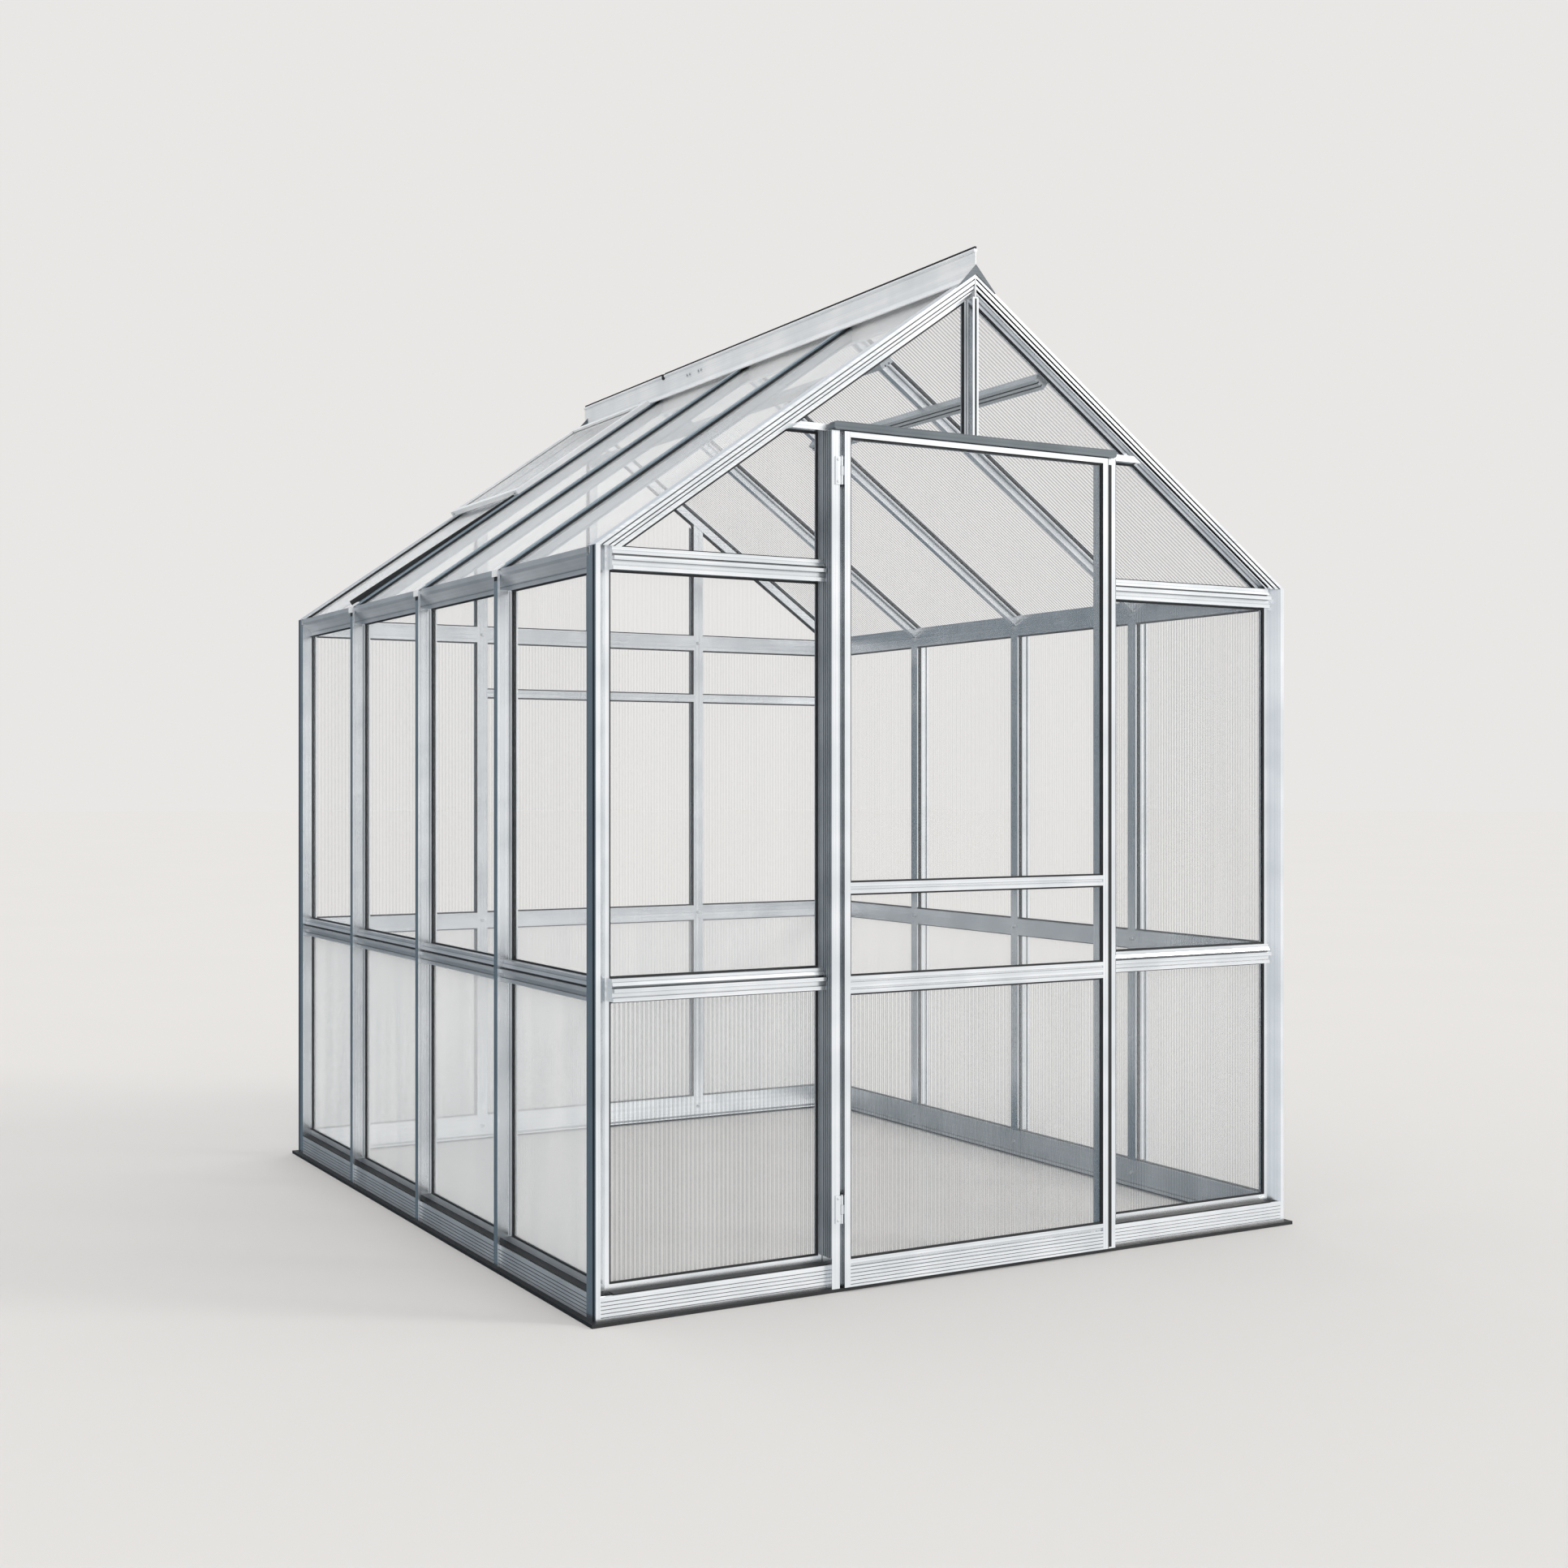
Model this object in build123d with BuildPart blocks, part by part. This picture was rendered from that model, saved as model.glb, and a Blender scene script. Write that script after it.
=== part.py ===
"""Walk-in hobby greenhouse: aluminium frame, polycarbonate glazing, hinged door and roof vent.

Frame of the part: X across the gable, Y along the ridge with the door gable at -Y, Z up,
origin on the ground under the middle of the plan. Sizes are in millimetres.
"""
from build123d import *
import os
from math import atan2, cos, hypot, radians, sin

os.makedirs("parts", exist_ok=True)

# ------------------------------------------------------------------ overall sizes
width = 1900.0              # over the outer faces of the side walls
length = 2170.0             # over the outer faces of the gables
eave_height = 1605.0        # ground to where the roof plane meets the wall plane
roof_rise = 675.0           # eave to ridge, on the same planes
bay_count = 4               # glazing bays along each side

# ------------------------------------------------------------------ wall heights
strip_height = 8.0          # black strip under the base rails
strip_proud = 15.0          # how far it stands outside the walls
base_top = 75.0             # top of the base rails, where the lower panes start
girt_middle = 685.0         # middle height of the mid rail
girt_half = 24.0            # half of its height
eave_bottom = 1556.0        # underside of the eave beams and gable rails
head_bottom = 1886.0        # underside of the door head
head_height = 15.0
window_rail_middle = 1397.0 # second rail of the rear gable
window_rail_half = 12.0

# ------------------------------------------------------------------ depths through a wall
recess = 32.0               # outer face of the frame to the pane
pane = 6.0                  # sheet thickness
back_lip = 4.0              # lip behind the pane
bead = 6.0                  # thickness of the bead in front of the pane
bite = 6.0                  # how far a pane reaches into its slot
seal_width = 4.0            # visible width of the black glazing seal
seal_depth = 4.0
joint_gap = 0.5             # between strips that meet end to end
slot_play = 1.0             # pane edge to the bottom of its slot
frame_depth = recess + pane + back_lip
bead_front = recess - bead

# ------------------------------------------------------------------ uprights
post_front = 42.0           # corner post, along the gable
post_side = 46.0            # corner post, along the side wall
post_nose = 11.0            # its flat nose on the gable
groove_span = (6.0, 16.0)   # its groove in the side wall, from the corner
groove_depth = 3.0
side_post_half = 17.0       # glazing bead of a side post, from its centre
side_post_nose = 11.0       # half the width of its outer cover strip
nose_proud = 6.0            # how far that strip stands outside the wall
back_post_offset = 380.0    # rear gable posts, from the middle
mullion_half = 13.5

# ------------------------------------------------------------------ door
leaf_half = 366.0           # half the width of the leaf
hinge_gap = 8.0             # leaf edge to jamb
jamb_width = 20.0
jamb_bead = 10.0
jamb_proud = 16.0
door_proud = 24.0           # front face of the leaf, outside the gable plane
leaf_thickness = 20.0
leaf_bottom = 10.0
leaf_head_gap = 2.0
stile_width = 15.0
top_rail_height = 12.0
hand_rail_middle = 884.0
hand_rail_half = 12.0
mid_rail_middle = 672.0
mid_rail_half = 19.0
kick_top = 71.0
leaf_pane_depth = 8.0       # leaf front face to its pane
stop_width = 16.0
stop_thickness = 4.0
liner_thickness = 2.0
sill_height = 16.0
hinge_heights = (181.0, 1798.0)
hinge_pin_radius = 2.0
hinge_clearance = 0.05
knuckle_radius = 3.6
knuckle_height = 20.0
knuckle_gap = 0.5

# ------------------------------------------------------------------ roof, measured square to the slope
rafter_depth = 40.0
rafter_thick = 45.0         # gable rafter, through the gable
roof_pane_top = -10.0
roof_pane_start = 6.0       # lower edge of the roof panes, up the slope from the eave
roof_pane_end = 21.0        # upper edge, below the apex
cap_thickness = 4.0
bar_cap_half = 12.0
bar_web_half = 2.5
bar_shelf_half = 14.0
bar_foot_half = 10.0
thin_wall = 3.0             # shelves, feet and other thin parts of a roof section
rafter_slot = 30.0          # depth through the gable where its roof pane slot starts
pane_gap = 1.5              # roof pane edge to bar web
wing_length = 46.0
wing_thickness = 3.0
ridge_web_half = 1.5
ridge_foot_half = 7.5
ridge_web_top = 2335.0 - 2280.0     # above the roof apex
ridge_foot_drop = 3.5               # web below the point where the rafters' undersides would meet
ridge_roll_radius = 5.0
plate_reach = 55.0          # ridge end plate, from the middle
plate_rise = 22.0           # above the apex
plate_thickness = 2.0
purlin_from_ridge = 303.0
purlin_depth = 20.0
purlin_width = 34.0

# ------------------------------------------------------------------ roof vent, in the rear bay of the left slope
vent_axis_s = 49.0          # hinge axis below the apex, along the slope
vent_axis_n = 9.0           # and above the roof plane
vent_top_s = 54.0
vent_bottom_s = 572.0
vent_from_bar = -10.5       # near edge of the sash, from the centre of the third bar
vent_from_gable = 12.0      # far edge, from the gable face
vent_bar = 22.0
vent_rest_gap = 0.5
vent_height = 14.0
vent_pane = 4.0
vent_rod_radius = 2.5
vent_rod_inset = 68.0       # rod ends, from the sides of the sash
vent_travel = 35.0          # degrees
lug_thickness = 6.0
trimmer_s = 560.0
stay_radius = 4.0           # rounded ends and half height of the stay
stay_thickness = 4.0
stay_reach = 300.0          # between its end holes
stay_pivot_s = 543.5
stay_pivot_n = -9.0
stay_along = 810.0
stay_ratio = 2.0            # turns this much per degree of the sash

# ------------------------------------------------------------------ base flange and anchors
flange_reach = 60.0
base_web = 5.0              # outer face of a base rail
flange_thickness = 3.0
anchor_inset = 50.0         # anchor holes, from the outer wall face
anchor_from_end = 160.0     # and from the gable face
anchor_radius = 5.0
nut_across = 10.0
nut_height = 5.0
base_nut_place = 40.0       # nuts of the base rail, above the floor
bolt_radius = 3.0
bolt_past_nut = 2.0

# ------------------------------------------------------------------ worked-out sizes
ledge_low, ledge_top = base_top - 23, base_top - 17
half_width = width / 2
half_length = length / 2
slope = roof_rise / half_width
pitch = atan2(roof_rise, half_width)
slope_length = hypot(half_width, roof_rise)
apex = eave_height + roof_rise
bay = length / bay_count
roof_pane_bottom = roof_pane_top - pane
leaf_top = head_bottom - leaf_head_gap
opening_half = leaf_half + hinge_gap
jamb_outer = opening_half + jamb_width
jamb_pane_edge = jamb_outer + jamb_bead - bite
hinge_x = -(leaf_half + hinge_gap / 2)
hinge_y = -half_length - jamb_proud - 2.0
girt_low = girt_middle - girt_half
girt_high = girt_middle + girt_half
rail_middle = (eave_bottom + eave_height - 1.0) / 2
rail_half = rail_middle - eave_bottom
rail_top = rail_middle + rail_half
bar_places = [bay * (step + 1) - half_length for step in range(bay_count - 1)]

side_run = half_length - post_side
gable_run = half_width - post_front
anchor_along = half_length - anchor_from_end
knuckle_step = knuckle_height + knuckle_gap
third_bar = bar_places[-1]
middle_bar = bar_places[len(bar_places) // 2]
vent_low = third_bar + vent_from_bar
vent_high = half_length - vent_from_gable
nose_top = eave_height - 1.0
pane_offset = bite - slot_play

INWARD = {
    "front": Vector(0, 1, 0),
    "back": Vector(0, -1, 0),
    "left": Vector(1, 0, 0),
    "right": Vector(-1, 0, 0),
}
REACH = {"front": half_length, "back": half_length, "left": half_width, "right": half_width}
UP = Vector(0, 0, 1)
ALONG = {"left": 1, "right": -1}                        # a bar plane's x, as a sign of +Y
OWN_HALF = {"left": Keep.BOTTOM, "right": Keep.TOP}     # of the middle plane


# ------------------------------------------------------------------ planes of the walls and the roof
def run_of(wall):
    """Direction in which a wall's level members run."""
    return INWARD[wall].cross(UP)


def level(wall, start):
    """Section plane of a level member that starts at a place along the wall: (depth, height)."""
    origin = INWARD[wall] * -REACH[wall] + run_of(wall) * start
    return Plane(origin=origin, x_dir=INWARD[wall], z_dir=run_of(wall))


def upright(wall, along, height):
    """Section plane of an upright at a place along the wall: (along, depth)."""
    origin = INWARD[wall] * -REACH[wall] + run_of(wall) * along + UP * height
    return Plane(origin=origin, x_dir=run_of(wall), z_dir=UP)


def facing(wall, depth):
    """Plane flat on a wall at a depth, facing out: (along, height)."""
    origin = INWARD[wall] * (depth - REACH[wall])
    return Plane(origin=origin, x_dir=run_of(wall), z_dir=INWARD[wall] * -1)


def up_slope(side):
    """Direction up the roof on one side."""
    return INWARD[side] * cos(pitch) + UP * sin(pitch)


def roof_bar_plane(side, start=0.0):
    """Section plane of a bar that runs up the slope, from a length above the eave: (along, height)."""
    origin = INWARD[side] * -half_width + UP * eave_height + up_slope(side) * start
    out = INWARD[side] * -sin(pitch) + UP * cos(pitch)
    return Plane(origin=origin, x_dir=out.cross(up_slope(side)), z_dir=up_slope(side))


def roof_level_plane(side, start):
    """Section plane of a roof member that runs along the ridge: (length up the slope, height)."""
    origin = INWARD[side] * -half_width + UP * eave_height + run_of(side) * start
    return Plane(origin=origin, x_dir=up_slope(side), z_dir=run_of(side))


def roof_face(side, height):
    """Plane parallel to a roof slope, at a height square to it: (along the run, length up the slope)."""
    out = INWARD[side] * -sin(pitch) + UP * cos(pitch)
    origin = INWARD[side] * -half_width + UP * eave_height + out * height
    return Plane(origin=origin, x_dir=run_of(side), z_dir=out)


def under_roof(depth, drop):
    """Height at a depth inside a side wall, square-dropped below the roof plane."""
    return eave_height + depth * slope - drop / cos(pitch)


def gable_height(x, drop):
    """Height at a distance from the middle of a gable, square-dropped below the roof plane."""
    return apex - abs(x) * slope - drop / cos(pitch)


def gable_reach(height, drop):
    """Distance from the middle of a gable to the line below the roof plane at a height."""
    return (apex - drop / cos(pitch) - height) / slope


def block(low, high, mode=Mode.ADD):
    """Rectangle between two corners in the sketch being drawn."""
    with Locations(((low[0] + high[0]) / 2, (low[1] + high[1]) / 2)):
        Rectangle(high[0] - low[0], high[1] - low[1], mode=mode)


def pair(hand, low, high):
    """A span on one hand of the middle, in rising order."""
    return sorted((hand * low, hand * high))


def trim_to_slope(side):
    """Cut the members being built at the ridge and flush with the side wall."""
    split(bisect_by=Plane.YZ, keep=OWN_HALF[side])
    split(bisect_by=facing(side, 0), keep=Keep.BOTTOM)


def save(builder, name):
    """Label a finished sub-part and write it as its own STEP file."""
    builder.part.label = name
    export_step(builder.part, f"parts/{name}.step")


# ------------------------------------------------------------------ section outlines
def girt_outline(middle, half, over=1):
    """Stepped rail section with a glazing slot in both edges; over = -1 turns it upside down."""
    steps = [
        (6, -half), (6, 8 - half), (11, 8 - half), (11, -4), (0, -4), (0, 4), (14, 4), (14, 9),
        (7, 9), (10, half - 8), (12, half - 8), (12, half), (recess, half), (recess, half - bite),
        (recess + pane, half - bite), (recess + pane, half), (frame_depth, half),
        (frame_depth, -half), (recess + pane, -half), (recess + pane, bite - half),
        (recess, bite - half), (recess, -half),
    ]
    Polygon(*[(depth, middle + over * height) for depth, height in steps], align=None)


def base_face():
    """Ribbed outer face of a base rail."""
    block((0, strip_height), (base_web, ledge_top))
    rib_pitch = 8.0
    for rib in range(5):
        middle = strip_height + 7 + rib * rib_pitch
        block((0, middle - 1), (1.5, middle + 1), mode=Mode.SUBTRACT)


def base_outline():
    """Base rail: ribbed face, a ledge, a glazing bead and slot on top, and a foot flange inside."""
    base_face()
    block((base_web, ledge_low), (frame_depth, ledge_top))
    block((bead_front, ledge_top), (recess, base_top))
    block((recess, ledge_top), (recess + pane, base_top - bite))
    block((recess + pane, ledge_top), (frame_depth, base_top))
    block((recess + pane, strip_height), (frame_depth, ledge_low))
    block((base_web, strip_height), (flange_reach, strip_height + flange_thickness))


def side_post_outline():
    """Glazed part of a side post: neck, bead, and a slot on each side of its core."""
    core = side_post_half - bite
    block((-7, 0), (7, bead_front))
    block((-side_post_half, bead_front), (side_post_half, recess))
    block((-core, recess), (core, recess + pane))
    block((-side_post_half, recess + pane), (side_post_half, frame_depth))


def slim_rail_outline(middle, half):
    """Narrow rail with a nose in front and a glazing slot in both edges."""
    block((6, middle - half), (frame_depth, middle + half))
    block((0, middle - 4), (6, middle + 4))
    block((recess, middle - half), (recess + pane, middle - half + bite), mode=Mode.SUBTRACT)
    block((recess, middle + half - bite), (recess + pane, middle + half), mode=Mode.SUBTRACT)


def mullion_outline():
    """Gable mullion: grooved nose, bead, and a slot on each side of its core."""
    core = mullion_half - bite
    block((-8, 0), (8, bead_front))
    block((-3, 0), (3, 4), mode=Mode.SUBTRACT)
    block((-mullion_half, bead_front), (mullion_half, recess))
    block((-core, recess), (core, recess + pane))
    block((-mullion_half, recess + pane), (mullion_half, frame_depth))


def bar_outline(middle):
    """Roof glazing bar about a place along the ridge: cap, web, pane shelf and foot."""
    block((middle - bar_cap_half, -cap_thickness), (middle + bar_cap_half, 0))
    block((middle - bar_web_half, -rafter_depth), (middle + bar_web_half, 0))
    block((middle - bar_shelf_half, roof_pane_bottom - thin_wall), (middle + bar_shelf_half, roof_pane_bottom))
    block((middle - bar_foot_half, -rafter_depth), (middle + bar_foot_half, thin_wall - rafter_depth))


def window(span, low, high):
    """Corners of a level-sided window in a wall."""
    return [(span[0], low), (span[1], low), (span[1], high), (span[0], high)]


def mirrored(corners):
    """The same window on the other hand of the wall."""
    return [(-along, height) for along, height in corners]


# ------------------------------------------------------------------ ground strip
with BuildPart() as ground_strip:
    strip_ends = {"left": -strip_proud, "right": -strip_proud, "front": post_side, "back": post_side}
    for wall, inset in strip_ends.items():
        reach = half_length if wall in ("left", "right") else half_width - joint_gap
        with BuildSketch(level(wall, inset - reach)):
            block((-strip_proud, 0), (post_side, strip_height))
        extrude(amount=2 * (reach - inset))
save(ground_strip, "ground_strip")

# ------------------------------------------------------------------ corner posts
corner_posts = {}
for gable in ("front", "back"):
    for side in ("left", "right"):
        sign_x = INWARD[side].X
        sign_y = INWARD[gable].Y
        outline = [
            (0, 0), (post_nose, 0), (recess, bead_front), (post_front, bead_front),
            (post_front, recess), (post_front - bite, recess), (post_front - bite, recess + pane),
            (post_front, recess + pane), (post_front, post_side), (recess + pane, post_side),
            (recess + pane, post_side - bite), (recess, post_side - bite), (recess, post_side),
            (0, post_side), (0, groove_span[1]), (groove_depth, groove_span[1]),
            (groove_depth, groove_span[0]), (0, groove_span[0]),
        ]
        points = [(sign_x * (a - half_width), sign_y * (b - half_length)) for a, b in outline]
        pocket = sorted(ALONG[side] * sign_y * (depth - half_length) for depth in (rafter_slot, post_side))
        with BuildPart() as corner_post:
            with BuildSketch(Plane.XY.offset(strip_height)):
                Polygon(*points, align=None)
            extrude(amount=rail_top - strip_height)
            with BuildSketch(roof_bar_plane(side, -rafter_depth)):
                block((pocket[0], roof_pane_bottom), (pocket[1], rafter_depth))
            extrude(amount=3 * rafter_depth, mode=Mode.SUBTRACT)
        corner_posts[gable, side] = corner_post.part
        save(corner_post, f"corner_post_{gable}_{side}")

# ------------------------------------------------------------------ side walls: base rails, eave beams, posts, girts
eave_outline = [
    (0, nose_top), (0, eave_height - 13), (4, eave_height - 19), (bead_front - 2, eave_bottom + 14),
    (bead_front - 2, eave_bottom + 11), (bead_front, eave_bottom + 11), (bead_front, eave_bottom),
    (recess, eave_bottom), (recess, eave_bottom + bite), (recess + pane, eave_bottom + bite),
    (recess + pane, eave_bottom), (frame_depth, eave_bottom),
    (frame_depth, under_roof(frame_depth, -roof_pane_bottom)), (6, under_roof(6, -roof_pane_bottom)),
    (6, nose_top),
]
base_rails = {}
eave_beams = {}
for side in ("left", "right"):
    with BuildPart() as base_rail:
        with BuildSketch(level(side, -side_run)):
            base_outline()
        extrude(amount=2 * side_run)
        with BuildSketch(Plane.XY):
            for along in (-anchor_along, anchor_along):
                with Locations((-INWARD[side].X * (half_width - anchor_inset), along)):
                    Circle(anchor_radius)
        extrude(amount=strip_height + flange_thickness, mode=Mode.SUBTRACT)
    base_rails[side] = base_rail.part
    save(base_rail, f"base_rail_{side}")

    with BuildPart() as eave_beam:
        with BuildSketch(level(side, -side_run)):
            Polygon(*eave_outline, align=None)
        extrude(amount=2 * side_run)
    eave_beams[side] = eave_beam.part
    save(eave_beam, f"eave_beam_{side}")

    with BuildPart() as side_posts:
        for place in bar_places:
            with BuildSketch(upright(side, place, strip_height)):
                block((-side_post_nose, -nose_proud), (side_post_nose, 0))
            extrude(amount=under_roof(-nose_proud, 0) - strip_height)
            with BuildSketch(upright(side, place, base_top)):
                side_post_outline()
            extrude(amount=eave_bottom - base_top)
    save(side_posts, f"side_posts_{side}")

    with BuildPart() as girts:
        with BuildSketch(level(side, -side_run)):
            girt_outline(girt_middle, girt_half)
        extrude(amount=2 * side_run)
        add(side_posts.part, mode=Mode.SUBTRACT)
    save(girts, f"girts_{side}")

# ------------------------------------------------------------------ ridge beam and its end plates
ridge_end = half_length + door_proud
ridge_web_drop = rafter_depth / cos(pitch) + ridge_foot_drop
ridge_foot = apex - ridge_web_drop - thin_wall
with BuildPart() as ridge_beam:
    with BuildSketch(Plane(origin=(0, ridge_end, 0), x_dir=(1, 0, 0), z_dir=(0, -1, 0))):
        block((-ridge_web_half, apex - ridge_web_drop), (ridge_web_half, apex + ridge_web_top))
        block((-ridge_foot_half, ridge_foot), (ridge_foot_half, apex - ridge_web_drop))
        with Locations((0, apex + ridge_web_top)):
            Circle(ridge_roll_radius)
        for hand in (-1, 1):
            drop = wing_length * sin(pitch)
            run_out = wing_length * cos(pitch)
            rise_over = wing_thickness * cos(pitch)
            Polygon(
                (0, apex), (hand * run_out, apex - drop),
                (hand * (run_out + wing_thickness * sin(pitch)), apex - drop + rise_over),
                (0, apex + wing_thickness / cos(pitch)), align=None,
            )
    extrude(amount=ridge_end + half_length)
save(ridge_beam, "ridge_beam")

with BuildPart() as ridge_end_plates:
    for gable in ("front", "back"):
        with BuildSketch(facing(gable, 0)):
            Polygon(
                (-plate_reach, gable_height(plate_reach, 0)), (0, apex), (plate_reach, gable_height(plate_reach, 0)),
                (0, apex + plate_rise), align=None,
            )
        extrude(amount=plate_thickness)
    add(ridge_beam.part, mode=Mode.SUBTRACT)
save(ridge_end_plates, "ridge_end_plates")

# ------------------------------------------------------------------ gable rafters
rafter_outline = [
    (0, 0), (0, -7), (4, -7), (4, -10), (1, -10), (1, -17), (6, -17), (6, -20), (3, -20), (3, -25),
    (12, -25), (12, -28), (8, -28), (8, -31), (bead_front, -31), (bead_front, -rafter_depth),
    (recess, -rafter_depth), (recess, bite - rafter_depth), (recess + pane, bite - rafter_depth),
    (recess + pane, -rafter_depth), (rafter_thick, -rafter_depth), (rafter_thick, roof_pane_bottom),
    (rafter_slot, roof_pane_bottom), (rafter_slot, -cap_thickness), (frame_depth, -cap_thickness),
    (frame_depth, 0),
]
rafters = {}
for gable in ("front", "back"):
    for side in ("left", "right"):
        turn = ALONG[side] * INWARD[gable].Y
        with BuildPart() as rafter:
            with BuildSketch(roof_bar_plane(side, -rafter_depth)):
                Polygon(*[(turn * (depth - half_length), height) for depth, height in rafter_outline], align=None)
            extrude(amount=slope_length + 2 * rafter_depth)
            trim_to_slope(side)
            split(bisect_by=Plane.XY.offset(rail_top), keep=Keep.TOP)
            add(ridge_beam.part, mode=Mode.SUBTRACT)
        rafters[gable, side] = rafter.part
    with BuildPart() as gable_rafters:
        add(rafters[gable, "left"])
        add(rafters[gable, "right"])
    save(gable_rafters, f"gable_rafters_{gable}")

# ------------------------------------------------------------------ door jambs and liners
with BuildPart() as jambs:
    for hand in (-1, 1):
        with BuildSketch(upright("front", 0, strip_height)):
            for low, high in (
                ((opening_half, -jamb_proud), (jamb_outer, frame_depth)),
                ((jamb_outer, bead_front), (jamb_outer + jamb_bead, recess)),
                ((jamb_outer, recess), (jamb_pane_edge, recess + pane)),
                ((jamb_outer, recess + pane), (jamb_outer + jamb_bead, frame_depth)),
                ((opening_half - stop_width, 0), (opening_half, stop_thickness)),
            ):
                ends = pair(hand, low[0], high[0])
                block((ends[0], low[1]), (ends[1], high[1]))
        extrude(amount=head_bottom - strip_height)
jamb_left, jamb_right = jambs.solids().sort_by(Axis.X)
for jamb, name in ((jamb_left, "door_jamb_hinge_side"), (jamb_right, "door_jamb_closing_side")):
    with BuildPart() as door_jamb:
        add(jamb)
    save(door_jamb, name)

with BuildPart() as jamb_liners:
    for hand in (-1, 1):
        with BuildSketch(upright("front", 0, base_top)):
            outer = jamb_outer + liner_thickness
            ends = pair(hand, jamb_outer, outer)
            block((ends[0], -jamb_proud), (ends[1], bead_front))
            ends = pair(hand, outer - 1.0, outer)
            for rib in range(4):
                block((ends[0], rib * 9 - 12), (ends[1], rib * 9 - 9), mode=Mode.SUBTRACT)
        extrude(amount=head_bottom - base_top)
save(jamb_liners, "jamb_liners")

# ------------------------------------------------------------------ door head, drip cap and sill
head_top = head_bottom + head_height
head_reach = gable_reach(head_bottom, rafter_depth)
with BuildPart() as door_head:
    with BuildSketch(level("front", -head_reach)):
        block((0, head_bottom), (frame_depth, head_top))
        block((recess, head_top - bite), (recess + pane, head_top), mode=Mode.SUBTRACT)
        block((recess, head_bottom), (recess + pane, head_bottom + bite), mode=Mode.SUBTRACT)
    extrude(amount=2 * head_reach)
    with BuildSketch(level("front", stop_width - opening_half)):
        block((0, head_bottom - stop_width), (stop_thickness, head_bottom))
    extrude(amount=2 * (opening_half - stop_width))
    for side in ("left", "right"):
        split(bisect_by=roof_face(side, -rafter_depth), keep=Keep.BOTTOM)
save(door_head, "door_head")

with BuildPart() as door_drip_cap:
    with BuildSketch(facing("front", 0)):
        with Locations((0, (head_bottom + head_top) / 2 + 3)):
            RectangleRounded(2 * jamb_outer - 4, head_height + 3, 7)
    extrude(amount=door_proud)
save(door_drip_cap, "door_drip_cap")

with BuildPart() as door_sill:
    with BuildSketch(level("front", -opening_half)):
        block((0, strip_height), (frame_depth, strip_height + sill_height))
        block((frame_depth, strip_height), (flange_reach, strip_height + flange_thickness))
    extrude(amount=2 * opening_half)
    add(jambs.part, mode=Mode.SUBTRACT)
save(door_sill, "door_sill")

# ------------------------------------------------------------------ gable uprights
with BuildPart() as gable_mullions:
    for gable, foot in (("front", head_top), ("back", rail_top)):
        with BuildSketch(upright(gable, 0, foot)):
            mullion_outline()
        extrude(amount=ridge_foot - foot)
    for side in ("left", "right"):
        split(bisect_by=roof_face(side, -rafter_depth), keep=Keep.BOTTOM)
save(gable_mullions, "gable_mullions")

with BuildPart() as back_posts:
    for place in (-back_post_offset, back_post_offset):
        with BuildSketch(upright("back", place, strip_height)):
            block((-side_post_nose, -nose_proud), (side_post_nose, 0))
        extrude(amount=apex - strip_height)
        with BuildSketch(upright("back", place, base_top)):
            side_post_outline()
        extrude(amount=apex - base_top)
    for side in ("left", "right"):
        split(bisect_by=roof_face(side, -rafter_depth), keep=Keep.BOTTOM)
save(back_posts, "back_posts")

# ------------------------------------------------------------------ gable rails, girts and base rails
front_run = gable_run - opening_half
with BuildPart() as gable_rails:
    with BuildSketch(level("back", -gable_run)):
        girt_outline(rail_middle, rail_half)
    extrude(amount=2 * gable_run)
    for start in (-gable_run, opening_half):
        with BuildSketch(level("front", start)):
            girt_outline(rail_middle, rail_half)
        extrude(amount=front_run)
    for neighbour in (jambs, jamb_liners, back_posts):
        add(neighbour.part, mode=Mode.SUBTRACT)
save(gable_rails, "gable_rails")

with BuildPart() as girts_gables:
    with BuildSketch(level("back", -gable_run)):
        girt_outline(girt_middle, girt_half)
    extrude(amount=2 * gable_run)
    for start in (-gable_run, opening_half):
        with BuildSketch(level("front", start)):
            girt_outline(girt_middle, girt_half)
        extrude(amount=front_run)
    for neighbour in (jambs, jamb_liners, back_posts):
        add(neighbour.part, mode=Mode.SUBTRACT)
save(girts_gables, "girts_gables")

with BuildPart() as back_window_rail:
    with BuildSketch(level("back", -gable_run)):
        slim_rail_outline(window_rail_middle, window_rail_half)
    extrude(amount=gable_run + back_post_offset - side_post_half)
    add(back_posts.part, mode=Mode.SUBTRACT)
save(back_window_rail, "back_window_rail")

with BuildPart() as base_rails_gables:
    with BuildSketch(level("back", -gable_run)):
        base_outline()
    extrude(amount=2 * gable_run)
    for start in (-gable_run, opening_half):
        with BuildSketch(level("front", start)):
            base_outline()
        extrude(amount=front_run)
    face_run = half_width - post_nose
    for gable, start, run in (
        ("back", -face_run, 2 * face_run), ("front", -face_run, face_run - opening_half),
        ("front", opening_half, face_run - opening_half),
    ):
        with BuildSketch(level(gable, start)):
            base_face()
        extrude(amount=run)
    for side in ("left", "right"):
        add(base_rails[side], mode=Mode.SUBTRACT)
    for corner_post in corner_posts.values():
        add(corner_post, mode=Mode.SUBTRACT)
    add(jambs.part, mode=Mode.SUBTRACT)
save(base_rails_gables, "base_rails_gables")

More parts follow.
